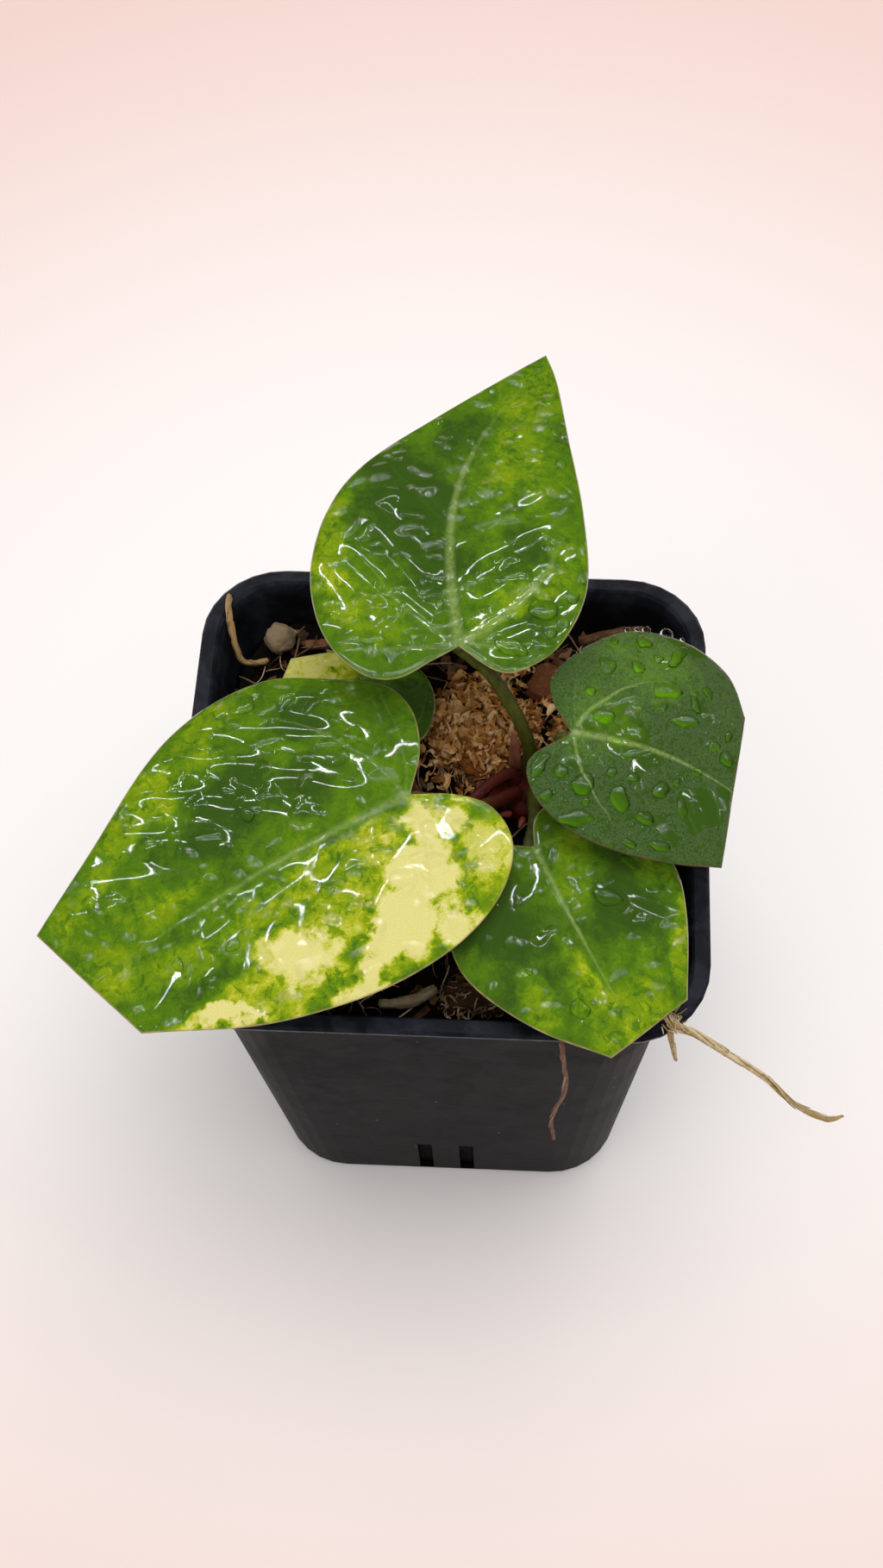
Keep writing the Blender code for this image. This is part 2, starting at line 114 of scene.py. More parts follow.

# The blades, as in the part's source, with the marks that each one shows. Places on a blade are along and
# across it. Veins are (start, angle in degrees, bend, length, width, strength). The patches of pale and deep
# tissue and of pooled water are (centre, size, turn in degrees, weight).
# Each blade also sets the share of painted sheen on its dry tissue, and the per-channel painted light on the
# side of its drops away from the lights.
LEAVES = {
    "top": dict(
        notch=(2.3, 14.2, 123.0), heading=80, pitch=-1, length=68, half=24, bow=7.6, hub=(14, 5),
        radii=(1.25, 1.12), ring=80, join=(0.4, -1.8),
        path=[(14.4, 7.3, 98), (14.4, 7.3, 102.5), (13.4, 7.9, 106.5), (12.1, 8.8, 110.4),
              (10.0, 10.4, 114.4), (7.4, 12.3, 118.2)],
        runs=[[(0, 0), (-3.7, 3.5), (-8.5, 8.2), (-9.1, 13.5), (-5.2, 19.8), (2.3, 25.2), (12, 28.5),
               (24, 28.7), (35, 25.3), (49.8, 15.2), (61, 7.6), (72.7, -0.2)],
              [(72.7, -0.2), (65.2, -3.6), (50, -8.7), (33.2, -14.6), (17, -18.3), (4, -16.4), (-2.6, -11.4),
               (-3.7, -7), (0, 0)]],
        spacing=9.5, lean=0.75, curl=0.012, vein_width=1.5, faint=0.25, rib=0.60,
        veins=[((0.5, 0.5), 118, -0.012, 22, 0.8, 0.25), ((0.8, 0.0), -100, 0.030, 13, 0.8, 0.35),
               ((1.0, -0.5), -52, 0.020, 26, 1.7, 0.55), ((1.0, 0.8), 78, -0.020, 26, 0.8, 0.18)],
        base=0.20, mist=0.25, wet=0.72, dry_sheen_share=0.8, side=0.03, painted_drop_light=(1.25, 1.3, 0.9),
        pale=[((60, 0), (13, 7), 5, 0.22), ((46, -1), (13, 5), -12, 0.26), ((33, -5), (12, 6), -8, 0.14),
              ((3, 17), (8, 6), 60, 0.24), ((12, 26), (10, 3.5), 25, 0.40), ((22, 27), (7, 2.5), -5, 0.28),
              ((10, -7), (9, 2.6), -45, 0.26), ((20, -13), (9, 4), -10, 0.16),
              ((2.5, 20), (3, 2.5), 0, 0.36)],
        deep=[((28, 15), (15, 9), 20, 0.30), ((15, 8), (8, 6), 0, 0.26), ((22, -5), (8, 4), 0, 0.22),
              ((44, 12), (10, 4), -30, 0.16), ((6, -11), (4, 4), 0, 0.12), ((5, -12), (5, 4), 0, 0.12)]),
    "left": dict(
        notch=(-4.8, -8.0, 112.5), heading=212, pitch=-4, length=62, half=30, bow=-1.0, hub=(14, 0),
        radii=(1.25, 1.15), ring=220,
        path=[(11.2, 2.0, 95.2), (8.6, -1.2, 98.2), (5.0, -4.6, 102.0), (1.0, -7.0, 106.4)],
        runs=[[(0, 0), (-5.9, 3.8), (-10, 9.2), (-9.9, 16.4), (-5, 22.4), (3.3, 26.3), (14, 27.5),
               (25.5, 26.2), (40, 21.7), (56.4, 12.4)],
              [(56.4, 12.4), (64.2, -12.9)],
              [(64.2, -12.9), (50, -20.8), (36, -29.8), (27.5, -33.6), (18.5, -34.9), (9.5, -33.2),
               (1, -26.8), (-6, -20.4), (-7.7, -13.5), (-5.3, -6.2), (0, 0)]],
        spacing=11.0, lean=0.62, curl=0.010, vein_width=1.4, faint=0.25, rib=0.42,
        veins=[((0.5, 0.0), 122, -0.010, 22, 0.6, 0.16), ((0.5, 0.5), 84, -0.012, 28, 0.6, 0.14),
               ((0.5, 0.0), -118, 0.012, 26, 0.6, 0.14), ((0.5, -0.5), -80, 0.012, 32, 0.6, 0.18)],
        base=0.24, mist=0.3, wet=0.84, dry_sheen_share=0.6, side=0.03, painted_drop_light=(1.1, 1.15, 0.95),
        pale=[((38, -23), (13, 4), 22, 0.30), ((55, -14), (9, 3), 30, 0.26), ((22, -31), (9, 3), 10, 0.28),
              ((44, -7), (10, 5), 5, 0.20), ((56, 0), (8, 5), 40, 0.26), ((15.5, -19), (7, 2), 60, 0.16),
              ((1.0, 6.5), (3.6, 6.0), -25, 0.90), ((5.5, 14.0), (6.6, 7.0), 35, 1.15),
              ((12.5, 20.5), (8.6, 5.8), 35, 1.15), ((21.5, 25.2), (6.5, 3.4), 5, 1.05),
              ((5.0, 24.0), (5.0, 4.0), 30, 0.90),
              ((-5.8, 16.0), (5.0, 9.0), -20, 0.68), ((-4.0, 7.5), (4.0, 4.0), 0, 0.80),
              ((9.5, 2.6), (7.5, 2.6), 0, 0.46), ((20.5, 5.2), (9, 4.0), 8, 0.36),
              ((30, 6.0), (8, 4.5), 0, 0.34),
              ((21, 13), (10, 7), 10, 0.46), ((35, 19), (9, 4), -20, 0.52), ((9, 7), (5, 5), 0, 0.58),
              ((28.2, 16.4), (7.4, 5.0), -8, 1.02), ((32.6, 12.6), (4.5, 4.2), 0, 0.74),
              ((43.5, 18.2), (9.5, 1.9), -24, 0.92), ((46, 6), (9, 4), -10, 0.24)],
        deep=[((26, -14), (12, 7), 18, 0.34), ((10, -22), (6, 5), 0, 0.28), ((38, -10), (8, 4), 10, 0.28),
              ((16, -11), (9, 5), 0, 0.28), ((41, 13), (6, 2.4), -10, 0.16)]),
    "right": dict(
        notch=(21.1, 1.9, 117.0), heading=-16, pitch=-7, length=32, half=20, bow=2.2, hub=(11, 3),
        radii=(1.15, 1.0), ring=5,
        path=[(17.1, 5, 97), (18.4, 4.6, 104), (19.4, 3.6, 109.5)],
        runs=[[(0, 0), (-4.8, 4.8), (-6, 9.2), (-3, 16.1), (2.2, 22.8), (8.2, 25.4), (15, 25.3), (22, 21.8),
               (26.5, 14.9)],
              [(26.5, 14.9), (30.1, -12.9)],
              [(30.1, -12.9), (22.5, -15.5), (12.5, -17.1), (4, -16.4), (-2.4, -13), (-4.9, -7.3), (0, 0)]],
        spacing=7.5, lean=0.7, curl=0.016, vein_width=1.1, faint=0.8, rib=0.70,
        veins=[((0.4, 1.2), 76, -0.026, 17, 0.7, 0.62), ((0.4, -0.5), -66, 0.018, 18, 0.55, 0.50),
               ((0.4, 1.0), 112, -0.010, 13, 0.5, 0.15), ((0.2, -0.6), -116, 0.02, 10, 0.5, 0.12)],
        base=-0.08, mist=0.8, wet=0.40, dry_sheen_share=1.4, side=0.05, painted_drop_light=(1.7, 2.1, 0.5),
        rim=(0.16, 0.075, 0.04),
        pools=[((2.4, 2.6), (5.0, 2.0), 52, 0.9), ((6.8, 7.6), (3.6, 1.8), 40, 0.9),
               ((9.0, 2.2), (3.4, 2.6), 60, 0.9)],
        pale=[((4, 4), (8, 9), 0, 0.24), ((8, 17), (10, 8), 0, 0.26)], deep=[((22, -6), (12, 8), 10, 0.10)]),
    "front": dict(
        notch=(15.6, -15.1, 109.0), heading=-60, pitch=-3, length=36, half=19, bow=-0.6, hub=(11, 1),
        radii=(1.15, 1.0), ring=290,
        path=[(15.1, 1.4, 97), (15.4, -3, 101.6), (15.6, -8.6, 104.8)],
        runs=[[(0, 0), (-4.4, 2.6), (-5.3, 7.1), (-1.8, 12.6), (5.2, 17), (13, 19.3), (22, 16.4),
               (33.6, 9.8)],
              [(33.6, 9.8), (36.4, -5.6)],
              [(36.4, -5.6), (28, -13.6), (18, -19.2), (10.6, -20.2), (4, -17.2), (-1, -11), (-2.4, -5),
               (0, 0)]],
        spacing=8.5, lean=0.7, curl=0.016, vein_width=0.9, faint=0.5, rib=0.55,
        veins=[((0.3, 0.5), 84, -0.02, 15, 0.6, 0.2), ((0.3, -0.5), -88, 0.02, 16, 0.6, 0.2)],
        base=0.16, mist=0.3, wet=0.80, dry_sheen_share=0.5, side=0.02, painted_drop_light=(1.25, 1.3, 0.9),
        pools=[((8.0, 5.0), (6.0, 3.6), 20, 0.7)],
        pale=[((33, 0), (7, 9), 0, 0.36), ((26, 6), (8, 4), 30, 0.20), ((5, 5), (6, 4), 20, 0.26),
              ((25, -12), (9, 3), -35, 0.30), ((9, 1), (5, 2.4), 0, 0.22), ((25, 14), (9, 2.6), -30, 0.38),
              ((26, -3), (5, 2.4), -5, 0.44), ((10, 16), (7, 2.2), 15, 0.24)],
        deep=[((7, -12), (8, 7), 20, 0.36), ((13, 9), (8, 5), 0, 0.30), ((20, 6), (6, 5), 0, 0.18),
              ((17, -9), (5, 3), 40, 0.26), ((21, -14), (7, 4), -40, 0.16)]),
    "small": dict(
        notch=(-6.9, 6.8, 102.5), heading=152, pitch=-3, length=24, half=12, bow=0.0, hub=(9, -1),
        radii=(1.1, 0.9), ring=152,
        path=[(11.0, 6.0, 95.6), (8.2, 3.4, 97.2), (5.0, 0.2, 96.8), (1.4, -2.0, 96.4), (-2.6, -1.6, 97.0),
              (-5.4, 1.2, 98.4), (-6.6, 4.4, 99.8)],
        runs=[[(0, 0), (-2, -3.8), (0.4, -10.6), (6, -15.7), (12.5, -17), (21, -14), (29.6, -8.1)],
              [(29.6, -8.1), (25.5, 6.8)],
              [(25.5, 6.8), (17, 11.5), (9, 12.3), (2.6, 10), (-0.9, 5), (0, 0)]],
        spacing=7.0, lean=0.7, curl=0.02, vein_width=0.9, faint=0.6, rib=0.3,
        veins=[((0.3, 0.5), 84, -0.03, 10, 0.5, 0.15), ((0.3, -0.5), -92, 0.02, 12, 0.5, 0.15)],
        base=0.16, mist=0.3, wet=0.66, dry_sheen_share=0.4, side=0.05, painted_drop_light=(1.1, 1.15, 0.95),
        pale=[((26, -6), (11, 9), 0, 0.80), ((15, -13), (6, 4), 0, 0.34)], deep=[((3, -6), (8, 8), 0, 0.22)]),
}

# Large drops: place along and across the blade, half length, half width and turn in degrees
DROPS = {
    "right": [(2.0, 14.4, 1.5, 2.0, 23), (6.3, 21.9, 1.5, 1.6, 27), (1.8, 20.2, 0.9, 1.2, 24),
              (6.9, 16.1, 1.3, 1.4, 25), (9.5, 19.4, 0.8, 1.1, 23), (12.6, 21.2, 3.0, 1.1, 74),
              (0.7, 8.5, 0.9, 1.0, 24), (12.8, 13.5, 2.6, 1.4, 19), (17.8, 13.2, 0.8, 1.6, 27),
              (19.4, 16.5, 0.8, 1.4, 27), (17.3, 9.4, 2.5, 1.1, 16), (13.1, 10.2, 0.8, 0.8, 27),
              (23.2, 7.1, 0.9, 0.9, 22), (24.7, 10.0, 0.9, 0.9, 27), (25.5, 5.8, 1.3, 1.4, 27),
              (21.4, 1.3, 0.9, 0.8, 24), (19.0, -1.6, 0.9, 0.8, 27), (16.7, -4.6, 1.8, 1.3, 63),
              (21.1, -6.1, 0.9, 1.9, 27), (11.9, -4.2, 1.2, 0.9, 25), (8.4, -4.5, 0.9, 1.0, 24),
              (6.2, -3.1, 0.6, 1.0, 27), (11.1, -8.9, 1.6, 2.4, 35), (15.7, -10.3, 1.6, 1.3, 22),
              (19.5, -13.7, 1.8, 1.0, 11), (14.7, -15.2, 1.4, 0.8, 23), (4.5, -8.7, 1.8, 2.2, -11),
              (0.4, -7.7, 1.2, 1.3, 21), (-3.0, -7.7, 1.2, 2.7, -7), (-0.3, -12.6, 1.2, 1.2, 5),
              (5.5, -14.5, 3.0, 1.4, 29), (6.0, -11.5, 0.7, 0.7, 25), (11.1, 0.7, 2.6, 0.9, 29),
              (7.8, 1.3, 0.9, 0.5, 24), (4.2, 4.7, 1.7, 1.4, 22)],
    "top": [(50.4, -6.4, 0.9, 1.3, -74), (43.2, -8.6, 0.9, 1.7, -71), (14.1, -16.0, 1.3, 1.5, -67),
            (8.2, -15.9, 1.2, 1.4, -70), (5.5, -14.2, 1.0, 1.1, -72), (9.6, -12.2, 2.5, 2.2, -73),
            (7.4, 5.0, 0.7, 0.9, -74), (13.0, 12.9, 0.7, 0.9, -78), (53.1, 0.3, 0.5, 0.7, -84),
            (48.5, 1.7, 0.9, 1.4, -81), (18.5, -16.9, 0.6, 1.1, -66), (-2.1, 14.4, 2.0, 1.2, -81),
            (1.2, -8.6, 1.6, 3.0, -5)],
    "left": [(16.1, -30.9, 2.2, 2.3, 142), (24.6, -10.8, 1.3, 1.3, 148), (14.9, 8.4, 1.4, 1.4, 148),
             (19.9, 8.6, 1.3, 1.1, 146), (37.2, 8.1, 1.2, 1.2, 146), (48.8, 13.6, 0.7, 0.6, 146),
             (46.4, 5.7, 1.2, 1.2, 144), (0.9, 14.4, 0.5, 0.6, 151), (15.2, -18.9, 0.6, 0.7, 142),
             (11.0, -11.2, 0.7, 0.6, 150), (24.0, -24.6, 1.2, 1.1, 143), (39.4, -14.4, 0.6, 0.6, 142),
             (25.7, 13.6, 0.7, 0.6, 144), (14.4, 13.1, 0.6, 0.6, 149), (6.3, 19.8, 0.7, 0.5, 150)],
    "front": [(13.5, 6.2, 2.4, 1.4, 40), (27.5, -6.5, 1.9, 1.5, 10), (31.5, 3.0, 0.9, 0.7, 0),
              (18.5, -11.0, 0.7, 0.6, 0), (24.0, 8.0, 1.6, 0.5, 80), (9.5, 12.5, 1.6, 0.9, 30)],
    "small": [(21.0, -8.5, 0.7, 0.6, 0), (26.5, -5.5, 0.5, 0.5, 0)],
}

# Finer pieces that stand for their solids. Lumps: centre, radii, turn, lumpiness, material
LUMPS = {
    "moss_mound": ((*MOUND, 91.0), (9.6, 8.4, 4.6), 10, 0.14, "shredded_moss"),
    "moss_front": ((7.4, -34.8, 92.2), (6.2, 2.9, 2.6), 6, 0.14, "dry_fibre"),
    "bark_ball": ((-31.6, 33.4, 94.6), (2.8, 2.8, 2.8), 0, 0.05, "ball_bark"),
    "bark_chip_rear": ((18.0, 27.0, 92.0), (5.0, 3.6, 2.0), 35, 0.14, "red_bark"),
    "bark_chip_left": ((-27.0, 5.0, 91.4), (5.4, 3.4, 1.8), 70, 0.14, "brown_bark"),
    "bark_chip_right": ((33.0, 12.0, 91.4), (3.4, 5.0, 1.9), 15, 0.14, "brown_bark"),
    "bark_chip_front": ((-16.0, -30.0, 91.4), (5.2, 3.4, 1.9), -20, 0.14, "pale_bark"),
}
# Sticks: points, radii, material
STICKS = {
    "stick_rear_left": ([(-27.2, 33.4, 92.6), (-21, 34.2, 92.3), (-13, 34.6, 91.6)], (0.8, 0.9, 0.8),
                        "red_bark"),
    "stick_rear_right": ([(23, 36.4, 91.6), (29, 36.9, 93.9), (34, 36.6, 96)], (0.9, 0.9, 0.7), "brown_bark"),
    "stick_front": ([(-9, -37.2, 93.2), (-4, -36.4, 93), (0, -33.6, 92.2)], (0.7, 1.0, 0.8), "pale_bark"),
}
# Roots: points, radii, material, number of loose strands
ROOTS = {
    "root_right": ([(30.0, -29.0, 86), (32.0, -32.0, 94), (34.6, -35.6, 99), (36.6, -38.8, 101.4),
                    (38.8, -42.3, 101.5), (42.6, -43.8, 101), (48.3, -46.5, 99), (53.8, -48.7, 96),
                    (58.3, -51.2, 92.5), (64.0, -52.6, 89), (67.1, -51.6, 88)],
                   (0.9, 0.9, 0.95, 1.0, 1.05, 0.95, 0.75, 0.75, 0.8, 0.8, 0.35), "straw_root", 30),
    "root_stub": ([(38.2, -43.5, 101.1), (38.9, -45.3, 98.3), (39.5, -46.2, 96)], (0.5, 0.45, 0.3),
                  "straw_root", 6),
    "root_front": ([(21, -34.0, 88), (21, -36.6, 94), (21, -39.6, 99), (21, -42.2, 100.95),
                    (21, -44.9, 100.95), (21.1, -46.1, 99.2), (21.6, -46.3, 93), (22.1, -46.1, 85),
                    (21.8, -45.8, 77), (20.6, -45.6, 69), (20.2, -45.6, 63), (20.8, -46.2, 56.5)],
                   (0.45, 0.4), "red_root", 8),
    "root_corner": ([(-40.7, 38.2, 101.0), (-40.6, 35.6, 101.0), (-40.0, 32.6, 99.8), (-39.1, 29.8, 97.4),
                     (-38.2, 28.4, 94.8), (-36.2, 28.6, 93.6), (-33.6, 29.2, 93.6)], (0.6, 0.6),
                    "pale_root", 10),
}

# Small beads that hang on the right blade's margin: along, across, radius
MARGIN_BEADS = ((3.2, 23.6, 0.55), (4.6, 24.5, 0.45), (6.2, 25.1, 0.8), (9.6, 25.8, 1.15), (-0.5, 19.5, 0.4),
                (12.4, 25.9, 0.4), (-3.4, 15.4, 0.35))

# The crown: heights and radii of the stem; side, azimuth, half span, reach, rise, flare and material of the
# scales; foot and way of the root nubs
STEM = ((72.0, 2.4), (80.0, 3.6), (87.5, 4.6), (89.0, 5.0), (89.6, 4.7), (90.4, 5.0), (91.3, 5.0),
        (CROWN_TOP, 4.4), (CROWN_TOP + 0.5, 2.8))
SCALES = (("rear", 119, 17, 0.9, 11.5, 0.5, "pink_scale"), ("left", 190, 26, 3.6, 3.0, 0.9, "red_scale"))
NUBS = ((13.6, -0.9, -0.6, -2.2), (15.6, -0.8, 0.6, -1.8), (11.2, 0.2, -2.0, -1.2))

# Bark, moss, fibre and roots: dark, middle and pale colour, grain, relief in millimetres, and roughness
LOOSE = {
    "mix_bed": ((0.006, 0.004, 0.002), (0.030, 0.017, 0.008), (0.085, 0.050, 0.024), 0.55, 1.0),
    "brown_bark": ((0.010, 0.005, 0.003), (0.060, 0.026, 0.011), (0.200, 0.105, 0.050), 0.8, 0.35),
    "red_bark": ((0.040, 0.012, 0.005), (0.170, 0.060, 0.024), (0.380, 0.180, 0.085), 0.9, 0.6),
    "pale_bark": ((0.060, 0.038, 0.018), (0.200, 0.145, 0.075), (0.420, 0.340, 0.210), 0.7, 0.30),
    "ball_bark": ((0.080, 0.050, 0.035), (0.230, 0.165, 0.100), (0.420, 0.300, 0.150), 0.45, 0.40),
    "dry_fibre": ((0.050, 0.026, 0.012), (0.230, 0.140, 0.075), (0.600, 0.440, 0.290), 0.8, 0.10),
    "shredded_moss": ((0.260, 0.090, 0.020), (0.700, 0.350, 0.105), (0.930, 0.660, 0.340), 0.5, 0.12),
    "straw_root": ((0.110, 0.062, 0.020), (0.370, 0.255, 0.110), (0.660, 0.550, 0.350), 1.1, 0.4, 0.7),
    "pale_root": ((0.120, 0.070, 0.030), (0.330, 0.210, 0.085), (0.560, 0.420, 0.220), 1.0, 0.2, 0.7),
    "red_root": ((0.050, 0.020, 0.014), (0.150, 0.075, 0.045), (0.300, 0.190, 0.130), 1.0, 0.15, 0.6),
}

# Stalks and scales: base, blush and streak colour, and the height under which the blush shows
STALKS = {
    "green_stalk": ((0.048, 0.060, 0.004), (0.120, 0.030, 0.012), (0.085, 0.092, 0.012), 97.0),
    "red_stalk": ((0.048, 0.060, 0.004), (0.095, 0.012, 0.010), (0.085, 0.092, 0.012), 103.0),
    "crown_stem": ((0.110, 0.012, 0.010), (0.080, 0.010, 0.008), (0.170, 0.032, 0.024), 97.0),
    "pink_scale": ((0.520, 0.170, 0.090), (0.340, 0.060, 0.045), (0.640, 0.330, 0.190), 97.0),
    "red_scale": ((0.220, 0.024, 0.020), (0.170, 0.018, 0.016), (0.300, 0.070, 0.050), 97.0),
}

# Materials and shader groups by name, filled as they are made
materials = {}
groups = {}


# Settings shown in the panel

def colour_property(name, description, default):
    return bpy.props.FloatVectorProperty(name=name, description=description, subtype='COLOR', size=3,
                                         min=0.0, max=1.0, default=default)


class StageSettings(bpy.types.PropertyGroup):
    lens: bpy.props.FloatProperty(name="Lens", description="Focal length of the camera", default=46.39,
                                  min=20.0, max=120.0, subtype='DISTANCE_CAMERA')
    soft_light: bpy.props.FloatProperty(name="Soft Light", description="Power of the large soft light",
                                        default=11.0, min=0.0, unit='POWER')
    strip_light: bpy.props.FloatProperty(name="Strip Light", description="Power of each narrow light",
                                         default=2.0, min=0.0, unit='POWER')
    ambient: bpy.props.FloatProperty(name="Ambient", description="Strength of the surrounding light",
                                     default=0.72, min=0.0, max=4.0)
    floor: colour_property("Floor", "Colour of the floor around the pot", (0.93, 0.90, 0.89))
    # The far floor colour is partly a pink tint and partly painted fall-off of light away from the pot.
    floor_far_tint_and_falloff: colour_property("Far Floor", "Colour of the floor further out", (0.82, 0.61, 0.56))


class PotSettings(bpy.types.PropertyGroup):
    plastic: colour_property("Plastic", "Colour of the clean plastic", (0.0040, 0.0040, 0.0045))
    dust: colour_property("Dust", "Colour of the dust on the walls", (0.0180, 0.0212, 0.027))
    lip: colour_property("Lip", "Colour of the clean lip", (0.016, 0.018, 0.025))
    dustiness: bpy.props.FloatProperty(name="Dustiness", description="How much dust the walls carry",
                                       default=0.55, min=0.0, max=1.0, subtype='FACTOR')


class LeafSettings(bpy.types.PropertyGroup):
    deep: colour_property("Deep Green", "Colour of the darkest leaf tissue", (0.038, 0.086, 0.010))
    green: colour_property("Green", "Colour of ordinary leaf tissue", (0.084, 0.186, 0.008))
    lime: colour_property("Lime", "Colour of half variegated tissue", (0.200, 0.300, 0.007))
    gold: colour_property("Gold", "Colour of mostly variegated tissue", (0.430, 0.460, 0.020))
    cream: colour_property("Cream", "Colour of fully variegated tissue", (0.680, 0.630, 0.225))
    vein: colour_property("Vein", "Colour of the main veins", (0.290, 0.390, 0.110))
    swell: bpy.props.FloatProperty(name="Swell", description="Height of the swelling between veins",
                                   default=0.00022, min=0.0, max=0.002, unit='LENGTH')
    spacing: bpy.props.FloatProperty(name="Mesh Spacing", description="Distance between points on the margin",
                                     default=0.0007, min=0.0003, max=0.005, unit='LENGTH')


class WaterSettings(bpy.types.PropertyGroup):
    bead: bpy.props.FloatProperty(name="Bead Height", description="Height of a drop against its width",
                                  default=0.30, min=0.1, max=1.5, subtype='FACTOR')
    ragged: bpy.props.FloatProperty(name="Raggedness", description="How uneven the drops' outlines are",
                                    default=0.0008, min=0.0, max=0.003, unit='LENGTH')


class MixSettings(bpy.types.PropertyGroup):
    chips: bpy.props.FloatProperty(name="Chips", description="Bark chips on each square metre",
                                   default=62000.0, min=0.0)
    fibres: bpy.props.FloatProperty(name="Fibres", description="Fibres on each square metre",
                                    default=95000.0, min=0.0)
    flakes: bpy.props.FloatProperty(name="Moss Flakes", description="Moss flakes on each square metre",
                                    default=900000.0, min=0.0)
    seed: bpy.props.IntProperty(name="Seed", description="Chooses how the loose pieces fall", default=7)


class RootSettings(bpy.types.PropertyGroup):
    hair: bpy.props.FloatProperty(name="Hair Radius", description="Radius of the root hairs",
                                  default=0.00013, min=0.00002, max=0.001, unit='LENGTH')
    seed: bpy.props.IntProperty(name="Seed", description="Chooses how the root hairs curl", default=3)


# Shader groups

NUMBER, VECTOR, COLOUR = 'NodeSocketFloat', 'NodeSocketVector', 'NodeSocketColor'
HALF = (0.5, 0.5, 0.5)


def socket_name(key):
    """A socket's label from a keyword: Base Color from base_color."""
    return key.replace("_", " ").title().replace("Ior", "IOR")


class Value:
    """An output socket that can be summed, multiplied and compared; each step adds a node."""

    def __init__(self, tree, socket):
        self.tree, self.socket = tree, socket

    def is_vector(self):
        return self.socket.type in ('VECTOR', 'RGBA')

    def combine(self, operation, *values):
        vectors = [v for v in values if isinstance(v, tuple) or isinstance(v, Value) and v.is_vector()]
        if not vectors:
            return self.tree.math(operation, *values)
        if operation == 'MULTIPLY' and len(vectors) == 1:
            return self.tree.scaled(vectors[0], next(v for v in values if v is not vectors[0]))
        return self.tree.vector(operation, *values)

    def __add__(self, other):
        return self.combine('ADD', self, other)

    def __sub__(self, other):
        return self.combine('SUBTRACT', self, other)

    def __rsub__(self, other):
        return self.combine('SUBTRACT', other, self)

    def __mul__(self, other):
        return self.combine('MULTIPLY', self, other)

    def __truediv__(self, other):
        return self.combine('DIVIDE', self, other)

    def __gt__(self, other):
        return self.tree.math('GREATER_THAN', self, other)

    def __lt__(self, other):
        return self.tree.math('LESS_THAN', self, other)

    def __abs__(self):
        return self.tree.math('ABSOLUTE', self)


class Tree:
    """Short calls for adding nodes to a tree and linking them."""

    def __init__(self, tree):
        self.tree = tree

    def node(self, kind, inputs=None, **settings):
        made = self.tree.nodes.new(kind)
        for key, value in settings.items():
            setattr(made, key, value)
        for key, value in (inputs or {}).items():
            self.feed(made.inputs[key], value)
        return made

    def get(self, kind, inputs=None, output=0, **settings):
        """One output of a new node."""
        return Value(self, self.node(kind, inputs, **settings).outputs[output])

    def named(self, node):
        """A node's outputs by name."""
        return {socket.name: Value(self, socket) for socket in node.outputs}

    def feed(self, socket, value):
        if isinstance(value, Value):
            self.tree.links.new(value.socket, socket)
        elif socket.type == 'RGBA' and len(value) == 3:
            socket.default_value = (*value, 1.0)
        else:
            socket.default_value = value

    def feeds(self, sockets, **values):
        for key, value in values.items():
            self.feed(sockets[socket_name(key)], value)

    def math(self, operation, *values, clamp=False):
        return self.get('ShaderNodeMath', dict(enumerate(values)), operation=operation, use_clamp=clamp)

    def most(self, first, *others):
        for other in others:
            first = self.math('MAXIMUM', first, other)
        return first

    def vector(self, operation, *values):
        output = "Value" if operation in ('LENGTH', 'DOT_PRODUCT') else "Vector"
        return self.get('ShaderNodeVectorMath', dict(enumerate(values)), output, operation=operation)

    def scaled(self, vector, scale):
        return self.get('ShaderNodeVectorMath', {0: vector, "Scale": scale}, operation='SCALE')

    def turned(self, vector, angle):
        """A vector turned back by an angle, seen from above."""
        return self.get('ShaderNodeVectorRotate', {"Vector": vector, "Angle": angle * -1.0},
                        rotation_type='Z_AXIS')

    def parts(self, vector):
        return [Value(self, socket) for socket in self.node('ShaderNodeSeparateXYZ', {0: vector}).outputs]

    def mix(self, fac, a, b, mode='MIX'):
        return self.get('ShaderNodeMix', {0: fac, 6: a, 7: b}, 2, data_type='RGBA', blend_type=mode)

    def tinted(self, colour, tint):
        return self.mix(1.0, colour, tint, 'MULTIPLY')

    def step(self, value, low, high, to_low=0.0, to_high=1.0):
        return self.get('ShaderNodeMapRange', {0: value, 1: low, 2: high, 3: to_low, 4: to_high},
                        interpolation_type='SMOOTHSTEP')

    def noise(self, vector, scale, detail=3.0, roughness=0.5, distortion=0.0, output=0):
        return self.get('ShaderNodeTexNoise', {"Vector": vector, "Scale": scale, "Detail": detail,
                                               "Roughness": roughness, "Distortion": distortion}, output)

    def cells(self, vector, scale, randomness=1.0, dimensions='3D'):
        """Distance to the nearest of some scattered points, and that point's own random colour."""
        made = self.named(self.node(
            'ShaderNodeTexVoronoi', {"Vector": vector, "Scale": scale, "Randomness": randomness},
            voronoi_dimensions=dimensions))
        return made["Distance"], made["Color"]

    def bump(self, height, distance):
        return self.get('ShaderNodeBump', {"Height": height, "Distance": distance, "Strength": 1.0})

    def attribute(self, name):
        return self.get('ShaderNodeAttribute', output="Fac", attribute_name=name)

    def group(self, name, **inputs):
        made = self.node('ShaderNodeGroup', node_tree=groups[name])
        self.feeds(made.inputs, **inputs)
        return self.named(made)

    def object_place(self):
        """Object coordinates in millimetres."""
        return self.get('ShaderNodeTexCoord', output="Object") * (1 / MM)


